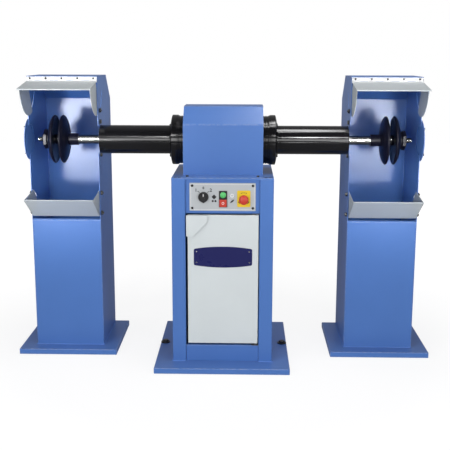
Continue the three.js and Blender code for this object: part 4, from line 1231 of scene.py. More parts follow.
def build_emergency_stop():
    low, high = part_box("estop_plate")
    hole = circle_points(ESTOP_X, ESTOP_Z, ESTOP_BORE, 40)
    plate = cut_plate(rounded_corners(front_corners(low, high), 0.007), [hole], "Y", low.y, high.y,
                      0.0005)
    finished("estop_back_plate", plate, "machine", "yellow_plastic", "estop_plate")
    centre = (ESTOP_X, 0, ESTOP_Z)

    stem_low, stem_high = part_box("estop_stem")
    head_low, head_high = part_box("estop_mushroom")
    skirt, thin, thick = head_high.y, 0.007, 0.011
    stem = turned([(stem_low.y, 0), (stem_low.y, thin), (skirt + GAP, thin), (skirt + GAP, thick),
                   (stem_high.y, thick), (stem_high.y, 0)], "Y", centre, steps=48)
    finished("estop_shank", stem, "estop_stem", "black_plastic", "estop_stem")

    front, rim, rim_front = head_low.y, 0.020, skirt - 0.006
    neck, bore = stem_low.y - GAP, thin + GAP
    crown = [(rim_front - (rim_front - front) * math.sin(t), rim * math.cos(t) ** 0.8)
             for t in (0.2, 0.45, 0.7, 0.95, 1.15, 1.35)]
    head = turned([(neck, 0), (neck, bore), (skirt, bore), (skirt, rim - 0.0008),
                   (skirt - 0.0012, rim), (rim_front, rim), *crown, (front, 0)], "Y", centre,
                  steps=64, edge=0.0003)
    finished("estop_head", head, "estop_head", "red_plastic", "estop_mushroom")
    build_estop_marks((ESTOP_X, ESTOP_Z), low.y)


def build_estop_marks(centre, face):
    """Plain dashes above the head and turning arrows below it."""
    marks = []
    for degrees in (-21, -7, 7, 21):
        x, z = from_down(centre, 0.0285, 180 - degrees)
        marks.append(turned_mark(oblong(0.0021, 0.0012), -degrees, x, z, face))
    for side in (-1, 1):
        band = (arc_points(centre, 0.0245, side * 40, side * 62, 8)
                + arc_points(centre, 0.0225, side * 62, side * 40, 8))
        tip = [from_down(centre, radius, side * degrees)
               for radius, degrees in ((0.0235, 70), (0.0270, 60), (0.0205, 60))]
        marks += [flat_mark(band, face), flat_mark(tip, face)]
    finished("estop_marks", joined(*marks), "machine", "black_ink")


# ---------------------------------------------------------------- pieces: motor ends and spindle

def end_shield_shape():
    start, end = (corner.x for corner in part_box("right_end_shield"))
    outer, opening, hub, hole = 0.1055, 0.096, 0.046, 0.0206
    drum, groove_foot, lip, web, hub_depth = outer - 0.0015, outer - 0.004, 0.004, 0.016, 0.030
    profile = [(start, opening), (start, drum)]
    for groove in (0.1765, 0.1865):
        profile += [(groove, drum), (groove + 0.0004, groove_foot), (groove + 0.0026, groove_foot),
                    (groove + 0.003, drum)]
    profile += [(end - lip, drum), (end - lip, outer), (end, outer), (end, hole),
                (end - 0.006, hole), (end - 0.006, BEARING_SEAT), (end - hub_depth, BEARING_SEAT),
                (end - hub_depth, hub), (end - web, hub), (end - web, opening)]
    return on_spindle(profile, edge=0.0005, ring=True)


def spindle_tube_shape():
    start, end = (corner.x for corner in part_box("right_spindle_tube"))
    bore, neck, drum, face, collar = 0.05175, 0.028, 0.108, 0.084, 0.066
    drum_end = start + DRUM_DEPTH
    collar_end, seat_end, neck_end = drum_end + 0.005, end - 0.0263, end - 0.0363
    profile = [(start, bore), (start, drum), (drum_end - 0.0065, drum),
               (drum_end - 0.0045, drum - 0.004), (drum_end - 0.0012, drum - 0.018),
               (drum_end, face), (drum_end, collar), (collar_end, collar),
               (collar_end, TUBE_RADIUS), (end, TUBE_RADIUS), (end, BEARING_SEAT),
               (seat_end, BEARING_SEAT), (seat_end, neck), (neck_end, neck), (neck_end, bore)]
    return on_spindle(profile, edge=0.0008, ring=True, steps=96)


def build_motor_housings():
    on_both_sides("motor_end_bell", end_shield_shape, "machine", "black_enamel", "end_shield")
    on_both_sides("spindle_housing", spindle_tube_shape, "machine", "black_enamel", "spindle_tube")
    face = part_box("right_spindle_tube")[0].x + DRUM_DEPTH
    spots = round_about("X", face, SPINDLE_LINE[1:], 0.0745, 6, 0.5)
    on_both_sides("housing_screws", lambda: stamped(socket_screw(0.0065, 0.0050), spots),
                  "machine", "black_fastener")


def bearing_shape(node):
    """Two races with a shield between them."""
    start, end = (corner.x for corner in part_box(node))
    bore, outer, race, recess, slant = 0.0203, 0.036, 0.0042, 0.0022, 0.0006
    inner_race, outer_race = bore + race, outer - race
    profile = [(start, bore), (start, inner_race), (start + recess, inner_race + slant),
               (start + recess, outer_race - slant), (start, outer_race), (start, outer),
               (end, outer), (end, outer_race), (end - recess, outer_race - slant),
               (end - recess, inner_race + slant), (end, inner_race), (end, bore)]
    return on_spindle(profile, edge=0.0004, ring=True)


def build_bearings():
    for node in ("motor_bearing", "tube_bearing"):
        on_both_sides(f"{node}_races", lambda node=node: bearing_shape(f"right_{node}"), "machine",
                      "bright_steel", node)


ARBOR_RADIUS = 0.0159
HUB_BORE = ARBOR_RADIUS + GAP
THREAD_START, THREAD_END, THREAD_PITCH = 0.789, SPINDLE_HIGH.x - 0.003, 0.003


def build_spindle():
    tip, core, chamfer = SPINDLE_HIGH.x - 0.0005, 0.0105, 0.001
    rotor_half, rotor_radius, shoulder, shaft_radius = 0.060, 0.024, 0.637, 0.020
    half = [(rotor_half, rotor_radius), (rotor_half, shaft_radius), (shoulder, shaft_radius),
            (shoulder, ARBOR_RADIUS), (THREAD_START - chamfer, ARBOR_RADIUS),
            (THREAD_START, ARBOR_RADIUS - chamfer), (THREAD_START, core), (THREAD_END, core),
            (tip, core - 0.002), (tip, 0)]
    other = [(-along, radius) for along, radius in reversed(half)]
    finished("spindle_shaft", on_spindle(other + half, edge=0.0004), "spindle", "bright_steel",
             "main_spindle")
    on_both_sides("spindle_thread", thread_shape, "spindle", "bright_steel")


def thread_shape():
    """A thread ridge wound along the spindle's end."""
    crest, root = 0.0118, 0.0103
    turns = int((THREAD_END - THREAD_START) / THREAD_PITCH) - 1
    steps = 32
    bm = blank()
    start = THREAD_START + 0.0006
    centre = Vector(SPINDLE_LINE)
    verts = [bm.verts.new(centre + Vector((along, 0, radius))) for along, radius in
             ((start, root), (start + THREAD_PITCH / 2, crest), (start + THREAD_PITCH, root))]
    edges = [bm.edges.new(pair) for pair in zip(verts, verts[1:])]
    bmesh.ops.spin(bm, geom=verts + edges, cent=centre, axis=(1, 0, 0),
                   dvec=(THREAD_PITCH / steps, 0, 0), angle=math.tau * turns, steps=steps * turns)
    bmesh.ops.remove_doubles(bm, verts=bm.verts[:], dist=1e-6)
    bmesh.ops.holes_fill(bm, edges=[e for e in bm.edges if e.is_boundary], sides=0)
    bmesh.ops.recalc_face_normals(bm, faces=bm.faces[:])
    return bm


DISC_RADIUS, DISC_DISH, DISC_HOLLOW, DISC_RIM = 0.105, 0.018, 0.008, 0.011
BOSS_RADIUS, SLEEVE_RADIUS = 0.030, 0.0255
INNER_RIM, OUTER_RIM = 0.705, 0.738
HUB_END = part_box("right_outer_flange")[1].x


def disc_sides(rim, outward):
    """The domed and the hollow side of a flange, both from the hub out to the rim."""
    back = rim + (0.0035 - DISC_RIM) * outward
    half_rim = DISC_RIM / 2
    dome = [(back - DISC_DISH * (1 - s ** 3) * outward, DISC_RADIUS * s)
            for s in (0.26, 0.34, 0.44, 0.54, 0.64, 0.74, 0.83, 0.90)]
    edge = [(back + (half_rim - half_rim * math.cos(t)) * outward,
             DISC_RADIUS - half_rim + half_rim * math.sin(t))
            for t in (0.4, 0.8, 1.2, math.pi / 2, 2.0, 2.4, 2.8)]
    hollow = [(back + (DISC_RIM - DISC_HOLLOW * (1 - s ** 3)) * outward, DISC_RADIUS * s)
              for s in (0.88, 0.78, 0.66, 0.54, 0.42, 0.31)]
    return dome + edge + [(back + DISC_RIM * outward, DISC_RADIUS * 0.925)] + hollow


def inner_flange_shape():
    sides = disc_sides(INNER_RIM, 1)
    start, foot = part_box("right_inner_flange")[0].x, sides[0][0] - 0.002
    return disc_shape([(start, HUB_BORE), (start, SLEEVE_RADIUS), (foot, SLEEVE_RADIUS)], sides)


def outer_flange_shape():
    sides = disc_sides(OUTER_RIM, -1)
    end, foot, hub_radius = HUB_END - 0.006, sides[0][0] + 0.001, BOSS_RADIUS + 0.002
    return disc_shape([(end, HUB_BORE), (end, hub_radius), (foot, hub_radius)], sides)


def disc_shape(hub, sides):
    """A flange from its hub, its sides and its seat on the clamping boss."""
    seat = sides[-1][0]
    profile = [*hub, *sides, (seat, BOSS_RADIUS - 0.004), (seat, HUB_BORE)]
    return on_spindle(profile, edge=0.0004, ring=True, steps=96)


def boss_shape(profile):
    """A clamping boss on the arbor, from its outer profile."""
    return on_spindle([(profile[0][0], HUB_BORE), *profile, (profile[-1][0], HUB_BORE)],
                      edge=0.0005, ring=True)


def build_flanges():
    on_both_sides("inner_disc", inner_flange_shape, "spindle", "flange_enamel", "inner_flange")
    on_both_sides("outer_disc", outer_flange_shape, "spindle", "flange_enamel", "outer_flange")
    neck, ring = 0.0215, 0.0265
    cone = [(0, 0.0275), (0.004, BOSS_RADIUS), (0.013, 0.0245)]
    hub = [(0.0132, neck), (OUTER_RIM - INNER_RIM, neck)]
    rings = [(0.0185, neck), (0.0190, ring), (0.0215, ring), (0.0220, neck)]
    for name, steps, finish in (("clamping_cone", cone, "bright_steel"),
                                ("clamping_hub", hub, "flange_enamel"),
                                ("clamping_ring", rings, "bright_steel")):
        profile = [(INNER_RIM + along, radius) for along, radius in steps]
        on_both_sides(name, lambda profile=profile: boss_shape(profile), "spindle", finish)
    on_both_sides("clamp_washer", lambda: pipe(HUB_END - 0.0058, HUB_END, 0.0385, HUB_BORE,
                                               edge=0.0012), "spindle", "flange_enamel")
    on_both_sides("clamp_hexagon", clamp_nut_shape, "spindle", "flange_enamel", "clamp_nut")


def clamp_nut_shape():
    start, end = (corner.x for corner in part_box("right_clamp_nut"))
    corner = 0.0425
    flat = corner * math.cos(math.pi / 6)
    chamfer, mouth = (corner - flat) * 0.55, 0.0015
    profile = [(start, HUB_BORE), (start, flat), (start + chamfer, corner),
               (end - chamfer, corner), (end, flat), (end, HUB_BORE + mouth),
               (end - mouth, HUB_BORE)]
    return on_spindle(profile, steps=6, edge=0.0010, ring=True)


# ---------------------------------------------------------------- pieces: hoods

def hood_wall_shape(low, high):
    rise = math.degrees(math.asin((SPINDLE_Y - HOOD_FRONT) / NOTCH_RADIUS))
    notch = arc_points((SPINDLE_Y, SPINDLE_Z), NOTCH_RADIUS, 180 + rise, -rise, 48)
    outline = [(HOOD_FRONT, HOOD_FOOT), (HOOD_BACK, HOOD_FOOT), (HOOD_BACK, HOOD_SLOPE_FOOT),
               (HOOD_TOP_BACK, HOOD_TOP), (HOOD_FRONT, HOOD_TOP), *notch]
    holes = [
        slot_points(VISOR_PIVOT, VISOR_STUD_RADIUS, VISOR_STUD_ANGLE,
                    VISOR_STUD_ANGLE + VISOR_TRAVEL, SLOT_HALF),
        slot_points(SCOOP_PIVOT, SCOOP_SLOT_RADIUS, 180 - SCOOP_TRAVEL, 180, SLOT_HALF),
        circle_points(*SCOOP_PIVOT, SLOT_HALF, 24),
    ]
    bm = cut_plate(outline, holes, "X", low, high)

    # The notch round the tube gets no pale edge: neither wear nor a painted highlight
    pale_edge = bm.faces.layers.float[WEAR_AND_SHEEN_LAYER]
    for face in bm.faces:
        middle = face.calc_center_median()
        if math.hypot(middle.y - SPINDLE_Y, middle.z - SPINDLE_Z) < 0.12:
            face[pale_edge] = 0.0
    return bm


def hood_shell_shape():
    low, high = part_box("right_hood_shell")
    duct = Vector((HOOD_MIDDLE, HOOD_BACK, DUCT_Z))
    path = [(HOOD_FRONT, HOOD_LIP), (HOOD_FRONT, HOOD_TOP), (HOOD_TOP_BACK, HOOD_TOP),
            (HOOD_BACK, HOOD_SLOPE_FOOT), (HOOD_BACK, HOOD_FOOT)]
    return folded_sheet(path, "X", low.x - GAP * 0.9, high.x + GAP * 0.9,
                        hole=(duct, DUCT_BORE + GAP))


def duct_ring_shape():
    plate_back, stub_end = HOOD_BACK + DUCT_RING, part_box("right_hood_shell")[1].y - 0.0030
    plate_radius, stub_radius = 0.084, 0.068
    profile = [(HOOD_BACK, DUCT_BORE), (HOOD_BACK, plate_radius), (plate_back, plate_radius),
               (plate_back, stub_radius), (stub_end, stub_radius), (stub_end, DUCT_BORE)]
    return turned(profile, "Y", (HOOD_MIDDLE, 0, DUCT_Z), edge=0.0007, ring=True)


def front_panel_shape():
    low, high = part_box("right_pedestal_front_panel")
    path = [(low.y, low.z), (low.y, high.z), (high.y, high.z)]
    # The top fold is painted pale, a painted highlight along the bend
    return folded_sheet(path, "X", low.x, high.x, bend=sheet_settings().column_bend, wear_and_sheen=0.4)


def end_cover_shape():
    low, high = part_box("right_end_cover")
    return rod(low.x, high.x, 0.090, edge=0.0010, steps=96)


def corner_weld_shape():
    """Beads inside the hood, down both corners of its back."""
    inside, low, high = HOOD_BACK - SHEET, 0.62, HOOD_SLOPE_FOOT - SHEET
    return joined(*(weld_bead((x, inside, low), (x, inside, high), seed, 0.0022)
                    for x, seed in ((WALL_HIGH.x, 11), (OUTER_LOW.x, 12))))


def pedestal_weld_shape():
    """Beads where a hood pedestal stands on its plate: in front and along both sides."""
    reach = weld_reach()
    left, right, front = WALL_LOW.x - reach, OUTER_HIGH.x + reach, HOOD_FRONT - reach
    return joined(
        weld_bead((WALL_LOW.x, front, HOOD_FOOT), (OUTER_HIGH.x, front, HOOD_FOOT), 7),
        weld_bead((left, HOOD_FRONT, HOOD_FOOT), (left, HOOD_BACK, HOOD_FOOT), 8),
        weld_bead((right, HOOD_FRONT, HOOD_FOOT), (right, HOOD_BACK, HOOD_FOOT), 9),
    )


def build_hoods():
    for name, shape, *nodes in (
            ("hood_inner_sheet", lambda: hood_wall_shape(WALL_LOW.x, WALL_HIGH.x),
             "hood_inner_wall"),
            ("hood_outer_sheet", lambda: hood_wall_shape(OUTER_LOW.x, OUTER_HIGH.x),
             "hood_outer_wall"),
            ("hood_wrap", hood_shell_shape, "hood_shell"),
            ("duct_ring", duct_ring_shape),
            ("pedestal_front_sheet", front_panel_shape, "pedestal_front_panel"),
            ("hood_end_disc", end_cover_shape, "end_cover")):
        on_both_sides(name, shape, "machine", "blue_enamel", *nodes)
    on_both_sides("corner_weld", corner_weld_shape, "machine", "weld_enamel")
    on_both_sides("pedestal_weld", pedestal_weld_shape, "machine", "weld_enamel")


# ---------------------------------------------------------------- pieces: visors and scoops

KNUCKLE_RADIUS, KNUCKLE_COUNT, KNUCKLE_GAP = 0.0042, 9, 0.0008
BORE_RADIUS, PIN_RADIUS = 0.0020, 0.0018  # the faceted pin turns freely in the faceted bore
KNUCKLE_REACH = KNUCKLE_RADIUS + KNUCKLE_GAP
HINGE_LOW, HINGE_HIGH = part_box("right_visor_hinge")
HINGE_LINE = (0, *VISOR_PIVOT)
LEAF_FRONT = HINGE_HIGH.y - 0.0022
FLAP_ANGLE, FLAP_REACH, HEM = -81.0, 0.170, 0.003
CHEEK_LOW, CHEEK_HIGH = WALL_LOW.x + 0.0045, OUTER_HIGH.x - 0.0045
STUD_RADIUS, STUD_REACH = 0.0040, 0.0115
SCREW_PITCH, SCREW_ROW = 0.0685, (-2, -1, 0, 1, 2)


def knuckle_places(parity):
    """Where every second knuckle starts and ends, from the first or from the second one."""
    low, high = HINGE_LOW.x, HINGE_HIGH.x
    pitch = (high - low) / KNUCKLE_COUNT
    for i in range(parity, KNUCKLE_COUNT, 2):
        first = low if i == 0 else low + i * pitch + KNUCKLE_GAP / 2
        last = high if i == KNUCKLE_COUNT - 1 else low + (i + 1) * pitch - KNUCKLE_GAP / 2
        yield first, last


def knuckle_shape(first, last):
    """One rolled knuckle of the piano hinge."""
    return pipe(first, last, KNUCKLE_RADIUS, BORE_RADIUS, "X", HINGE_LINE, steps=24, edge=0.0003)


def hinge_leaf_shape():
    low, high = HINGE_LOW, HINGE_HIGH
    root, pin_inset = VISOR_PIVOT[1] + KNUCKLE_REACH, 0.0004
    shapes = [rounded_box((low.x, LEAF_FRONT, root), high, 0.0006, 2)]
    for first, last in knuckle_places(0):
        shapes.append(rounded_box((first, LEAF_FRONT, VISOR_PIVOT[1]), (last, high.y, root + 0.001),
                                  0.0005, 2))
        shapes.append(knuckle_shape(first, last))
    shapes.append(rod(low.x + pin_inset, high.x - pin_inset, PIN_RADIUS, "X", HINGE_LINE, steps=24,
                      edge=0.0003))
    return joined(*shapes)


def stud_rods(point):
    """Two studs that stand out of the cheeks through the hood walls."""
    return [rod(first, last, STUD_RADIUS, "X", (0, *point), steps=24, edge=0.0006)
            for first, last in ((WALL_LOW.x - STUD_REACH, CHEEK_LOW + THIN_SHEET),
                                (CHEEK_HIGH - THIN_SHEET, OUTER_HIGH.x + STUD_REACH))]


def cheeks(outline):
    """The two side plates of a visor or a scoop."""
    return [cut_plate(outline, [], "X", first, first + THIN_SHEET, 0.0005)
            for first in (CHEEK_LOW, CHEEK_HIGH - THIN_SHEET)]


def on_flap(radius, angle=FLAP_ANGLE):
    """A (y, z) point of the visor, by its distance from the hinge's line."""
    return from_down(VISOR_PIVOT, radius, angle)


def visor_shape():
    hem_angle = FLAP_ANGLE + math.degrees(HEM / FLAP_REACH)
    path = [on_flap(KNUCKLE_REACH), on_flap(FLAP_REACH), on_flap(FLAP_REACH, hem_angle)]
    flap = folded_sheet(path, "X", HINGE_LOW.x, HINGE_HIGH.x, THIN_SHEET, 0.0012)
    radius, behind = 0.146, 25.0
    cheek = (arc_points(VISOR_PIVOT, radius, FLAP_ANGLE + 0.6, behind, 40)
             + arc_points(VISOR_PIVOT, KNUCKLE_REACH + KNUCKLE_RADIUS, behind, FLAP_ANGLE + 8, 4))
    return joined(flap, *cheeks(cheek), *stud_rods(on_flap(VISOR_STUD_RADIUS, VISOR_STUD_ANGLE)))


def flap_strip(first, last, start, end, above, below):
    """A strip along the visor, between two distances from the hinge's line."""
    line = [on_flap(start), on_flap(end)]
    over = beside(line, -above) if above else line
    return cut_plate([*over, *beside(line, below)[::-1]], [], "X", first, last, 0.0003)


def visor_knuckles_shape():
    """The moving knuckles of the hinge, with the strip that holds the visor."""
    shapes = [flap_strip(HINGE_LOW.x, HINGE_HIGH.x, KNUCKLE_REACH, 0.013, 0.0009, 0.0002)]
    for first, last in knuckle_places(1):
        shapes += [knuckle_shape(first, last),
                   flap_strip(first, last, KNUCKLE_RADIUS * 0.8, 2 * KNUCKLE_REACH, 0, THIN_SHEET)]
    return joined(*shapes)


def visor_rivets_shape():
    """Rivets that hold the visor to its hinge, in line with the screws above."""
    y, z = on_flap(0.0225)
    angle = math.radians(90 + FLAP_ANGLE)
    normal = Vector((0, -math.sin(angle), math.cos(angle)))
    spots = [facing((HOOD_MIDDLE + SCREW_PITCH * i, y, z), normal) for i in SCREW_ROW]
    return stamped(rivet_shape(0.0036, 0.0014), spots)


def clamp_nuts_shape(points):
    """Nuts with washers on both walls, on studs at these (y, z) points."""
    spots = []
    for y, z in points:
        spots.append(facing((WALL_LOW.x, y, z), (-1, 0, 0), 0.3))
        spots.append(facing((OUTER_HIGH.x, y, z), (1, 0, 0), 0.3))
    return stamped(nut_on_stud(STUD_RADIUS + 0.0001, STUD_REACH + 0.0005), spots)


def build_visors():
    on_both_sides("hinge_leaf", hinge_leaf_shape, "machine", "hinge_enamel", "visor_hinge")
    on_both_sides("visor_sheet", visor_shape, "{side}_visor", "visor_grey", "visor")
    on_both_sides("visor_knuckles", visor_knuckles_shape, "{side}_visor", "hinge_enamel")
    on_both_sides("visor_rivets", visor_rivets_shape, "{side}_visor", "visor_grey")
    stud = on_flap(VISOR_STUD_RADIUS, VISOR_STUD_ANGLE)
    on_both_sides("visor_nuts", lambda: clamp_nuts_shape([stud]), "{side}_visor", "black_fastener")
    radius = fastener_settings().hinge_screw
    spots = [facing((HOOD_MIDDLE + SCREW_PITCH * i, LEAF_FRONT, HOOD_TOP - 0.0100), (0, -1, 0))
             for i in SCREW_ROW]
    on_both_sides("hinge_screws", lambda: stamped(button_screw(radius, 0.0024), spots), "machine",
                  "black_fastener")


SCOOP_FOOT = (HOOD_FRONT - 0.001, SCOOP_PIVOT[1] - 0.0118)
SCOOP_LIP = (HOOD_FRONT - 0.150, SCOOP_PIVOT[1] + 0.083)
SCOOP_SLIDE = (SCOOP_PIVOT[0], SCOOP_PIVOT[1] + SCOOP_SLOT_RADIUS)


def scoop_shape():
    hem = (SCOOP_LIP[0] + 0.005, SCOOP_LIP[1] + 0.0025)
    panel = folded_sheet([SCOOP_FOOT, SCOOP_LIP, hem], "X", CHEEK_LOW, CHEEK_HIGH, THIN_SHEET,
                         0.0020)
    y, z = SCOOP_PIVOT
    cheek = rounded_corners([SCOOP_FOOT, (y + 0.008, z - 0.013), (y + 0.047, z + 0.052),
                             (y + 0.004, z + 0.104), SCOOP_LIP], 0.006, 4)
    return joined(panel, *cheeks(cheek), *stud_rods(SCOOP_PIVOT), *stud_rods(SCOOP_SLIDE))


def build_scoops():
    on_both_sides("scoop_sheet", scoop_shape, "{side}_scoop", "visor_grey", "scoop")
    on_both_sides("scoop_nuts", lambda: clamp_nuts_shape([SCOOP_PIVOT, SCOOP_SLIDE]),
                  "{side}_scoop", "black_fastener")


def build_hood_fasteners():
    """Bolts beside the tube, round the end covers and on the duct rings."""
    wall_spots = [facing((WALL_LOW.x, SPINDLE_Y + 0.020, SPINDLE_Z + rise), (-1, 0, 0), 0.2)
                  for rise in (0.0755, -0.0700)]
    cover_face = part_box("right_end_cover")[1].x
    cover_spots = round_about("X", cover_face, SPINDLE_LINE[1:], 0.078, 4, 0.5)
    duct_spots = round_about("Y", HOOD_BACK + DUCT_RING, (HOOD_MIDDLE, DUCT_Z), 0.076, 6)

    # Each with its size across the flats, its head's height, and its washer's radius and height
    for name, spots, sizes in (("tube_wall_bolts", wall_spots, (0.016, 0.0065, 0.0110, WASHER)),
                               ("end_cover_bolts", cover_spots, (0.010, 0.0045, 0.0070, 0.0012)),
                               ("duct_ring_bolts", duct_spots, (0.008, 0.0036, 0.0060, 0.0010))):
        on_both_sides(name, lambda spots=spots, sizes=sizes: stamped(bolt_shape(*sizes), spots),
                      "machine", "black_fastener")


# ---------------------------------------------------------------- stage

WHITE = (1.0, 1.0, 1.0, 1.0)
FLOOR_TONE = (0.16, 0.16, 0.165, 1.0)
FLOOR_HALF, FLOOR_DROP, FLOOR_MIRRORED = 9.0, 0.0005, 0.10


def camera_matrix(settings):
    """The camera's place from its yaw, its pitch down and its roll."""
    yaw, pitch, roll = settings.camera_turn
    right = Vector((math.cos(yaw), math.sin(yaw), 0))
    ahead = Vector((-math.sin(yaw), math.cos(yaw), 0))
    up = Vector((0, 0, 1))
    view = ahead * math.cos(pitch) - up * math.sin(pitch)
    lifted = up * math.cos(pitch) + ahead * math.sin(pitch)
    across = right * math.cos(roll) + lifted * math.sin(roll)
    upright = lifted * math.cos(roll) - right * math.sin(roll)
    matrix = Matrix((across, upright, -view)).transposed().to_4x4()
    matrix.translation = settings.camera_place
    return matrix


def hung_lamp(name, kind, power, point, target):
    """A lamp at a point, turned to a target."""
    lamp = bpy.data.lights.new(name, kind)
    lamp.energy = power
    holder = bpy.data.objects.new(name, lamp)
    aim = (Vector(target) - Vector(point)).to_track_quat('-Z', 'Y').to_matrix().to_4x4()
    holder.matrix_world = Matrix.Translation(point) @ aim
    bpy.context.scene.collection.objects.link(holder)
    return lamp


def softbox(name, power, size, point, target):
    lamp = hung_lamp(name, 'AREA', power, point, target)
    lamp.shape = 'RECTANGLE'
    lamp.size, lamp.size_y = size
    return lamp


def spotlight(name, power, angle, point, target):
    """A narrow beam with a soft edge, its angle in degrees."""
    lamp = hung_lamp(name, 'SPOT', power, point, target)
    lamp.spot_size, lamp.spot_blend, lamp.shadow_soft_size = math.radians(angle), 0.7, 0.40


def seen_strength(tree, seen, mirrored, others):
    """A strength for camera rays, one for mirrored and transmitted rays, and one for the rest."""
    rays = tree.nodes.new('ShaderNodeLightPath').outputs
    mirror = maths(tree, 'MAXIMUM', rays["Is Glossy Ray"], rays["Is Transmission Ray"])
    rest = maths(tree, 'SUBTRACT', 1.0, maths(tree, 'MAXIMUM', rays["Is Camera Ray"], mirror))
    pairs = ((rays["Is Camera Ray"], seen), (mirror, mirrored), (rest, others))
    shares = [maths(tree, 'MULTIPLY', share, strength) for share, strength in pairs]
    return maths(tree, 'ADD', maths(tree, 'ADD', shares[0], shares[1]), shares[2])


def mirrored_backdrop(tree):
    """Reflections see the backdrop pale behind the machine and dim in front of it."""
    aim = tree.nodes.new('ShaderNodeTexCoord').outputs["Generated"]
    back = add(tree, 'ShaderNodeSeparateXYZ', {"Vector": aim}).outputs["Y"]
    dim, pale = 0.08, 0.30
    return stretched(tree, back, -0.35, 0.25, dim, pale)


def build_stage():
    scene = bpy.context.scene
    settings = scene.buffing_stage
    scene.view_settings.view_transform = 'Standard'
    build_camera(scene, settings)
    build_backdrop(scene, settings)
    build_floor(scene, settings)
    build_lamps(settings)


def build_camera(scene, settings):
    lens = bpy.data.cameras.new("photo_view")
    lens.lens, lens.sensor_width, lens.sensor_fit = settings.lens, 36.0, 'HORIZONTAL'
    lens.clip_start, lens.clip_end = 0.05, 100.0
    camera = bpy.data.objects.new("photo_view", lens)
    camera.matrix_world = camera_matrix(settings)
    scene.collection.objects.link(camera)
    scene.camera = camera


def build_backdrop(scene, settings):
    """The world: white to the camera, dimmer in reflections, and an even light."""
    world = bpy.data.worlds.new("studio")
    scene.world = world
    world.use_nodes = True
    tree = world.node_tree
    background = tree.nodes["Background"]
    background.inputs["Color"].default_value = WHITE
    strength = seen_strength(tree, 1.0, mirrored_backdrop(tree), settings.ambient)
    tree.links.new(strength, background.inputs["Strength"])


def build_floor(scene, settings):
    """A pale floor that is white far from the machine and keeps its shadow."""
    bm = bmesh.new()
    bmesh.ops.create_grid(bm, x_segments=1, y_segments=1, size=FLOOR_HALF)
    bmesh.ops.translate(bm, vec=(0, 0, -FLOOR_DROP), verts=bm.verts[:])
    mesh = bpy.data.meshes.new("studio_floor")
    bm.to_mesh(mesh)
    bm.free()
    floor = bpy.data.objects.new("studio_floor", mesh)
    scene.collection.objects.link(floor)
    tree, shader = new_finish("pale_floor", Base_Color=FLOOR_TONE, Roughness=0.9,
                              Specular_IOR_Level=0.0, Emission_Color=WHITE)
    white = stretched(tree, length_of(tree, object_place(tree)), 0.9, 2.4, 0.86, 1.0)
    glow = seen_strength(tree, white, FLOOR_MIRRORED, settings.floor_glow)
    tree.links.new(glow, shader.inputs["Emission Strength"])
    mesh.materials.append(bpy.data.materials["pale_floor"])


def build_lamps(settings):
    """Softboxes round the camera and above, and narrow beams into the hoods."""
    for side, name in ((-1, "left"), (1, "right")):
        softbox(f"front_{name}_softbox", settings.front_power, (1.35, 0.85),
                (side * 0.98, -3.7, 1.33), (side * 0.3, 0, 0.9))
        softbox(f"side_{name}_softbox", settings.side_power, (1.6, 1.6),
                (side * 3.2, -3.2, 1.5), (side * -0.3, 0, 0.8))
        near = softbox(f"hood_{name}_softbox", settings.hood_power * (1.3 - 0.3 * side),
                       (0.42, 0.42), (side * 1.50 - 0.1, -3.7, 0.74), (side * 0.74, 0, 0.93))
        near.spread = math.radians(13)
        spotlight(f"hood_{name}_high_spot", settings.spot_power * 2.2, 8.3,
                  (side * 0.86, -3.4, 2.5), (side * HOOD_MIDDLE, 0.0, 0.83))
        spotlight(f"hood_{name}_low_spot", settings.spot_power * 0.5, 6.5,
                  (side * 0.80, -3.5, 0.10), (side * HOOD_MIDDLE, 0.20, 1.02))
        spotlight(f"hood_{name}_cross_spot", settings.spot_power * 2.4, 6.5,
                  (side * -1.5, -3.4, 1.0), (side * 0.84, 0.10, 0.92))
    softbox("overhead_softbox", settings.top_power, (1.5, 0.24), (0.50, -0.60, 3.2), (0.1, 0, 0.9))
    softbox("slope_softbox", settings.top_power * 1.05, (0.7, 0.5), (0.48, -0.06, 3.2),
            (0.3, 0, 0.9))
    softbox("key_softbox", settings.key_power, (0.35, 0.35), (-1.9, -2.9, 2.9), (0, 0, 0.7))


# ---------------------------------------------------------------- operators

class BUFFING_OT_finishes(Operator):
    """Build the shared effects and every finish, and dress the CAD nodes"""
    bl_idname = "buffing.finishes"
    bl_label = "Finishes"

    def execute(self, context):
        build_finishes()
        dress_frame()
        return {'FINISHED'}


class BUFFING_OT_base_plates(Operator):
    """Build the three base plates and the anchor bolts"""
    bl_idname = "buffing.base_plates"
    bl_label = "Base plates"

    def execute(self, context):
        build_base_plates()
        return {'FINISHED'}


class BUFFING_OT_cabinet(Operator):
    """Build the cabinet's sheets, lid, kick rail and welds"""
    bl_idname = "buffing.cabinet"
    bl_label = "Cabinet"

    def execute(self, context):
        build_cabinet()
        return {'FINISHED'}


class BUFFING_OT_head_cover(Operator):
    """Build the cover over the motor and its foot flange"""
    bl_idname = "buffing.head_cover"
    bl_label = "Head cover"

    def execute(self, context):
        build_head_cover()
        return {'FINISHED'}


class BUFFING_OT_front_door(Operator):
    """Build the door, its pull plate and the bare name plate"""
    bl_idname = "buffing.front_door"
    bl_label = "Front door"

    def execute(self, context):
        build_front_door()
        return {'FINISHED'}


class BUFFING_OT_control_panel(Operator):
    """Build the control panel with its screws and marks"""
    bl_idname = "buffing.control_panel"
    bl_label = "Control panel"

    def execute(self, context):
        build_control_panel()
        return {'FINISHED'}


class BUFFING_OT_selector(Operator):
    """Build the selector knob and its index"""
    bl_idname = "buffing.selector"
    bl_label = "Selector"

    def execute(self, context):
        build_selector()
        return {'FINISHED'}


class BUFFING_OT_push_buttons(Operator):
    """Build the twin push button"""
    bl_idname = "buffing.push_buttons"
    bl_label = "Push buttons"

    def execute(self, context):
        build_push_buttons()
        return {'FINISHED'}


class BUFFING_OT_emergency_stop(Operator):
    """Build the emergency stop with its plate"""
    bl_idname = "buffing.emergency_stop"
    bl_label = "Emergency stop"

    def execute(self, context):
        build_emergency_stop()
        return {'FINISHED'}


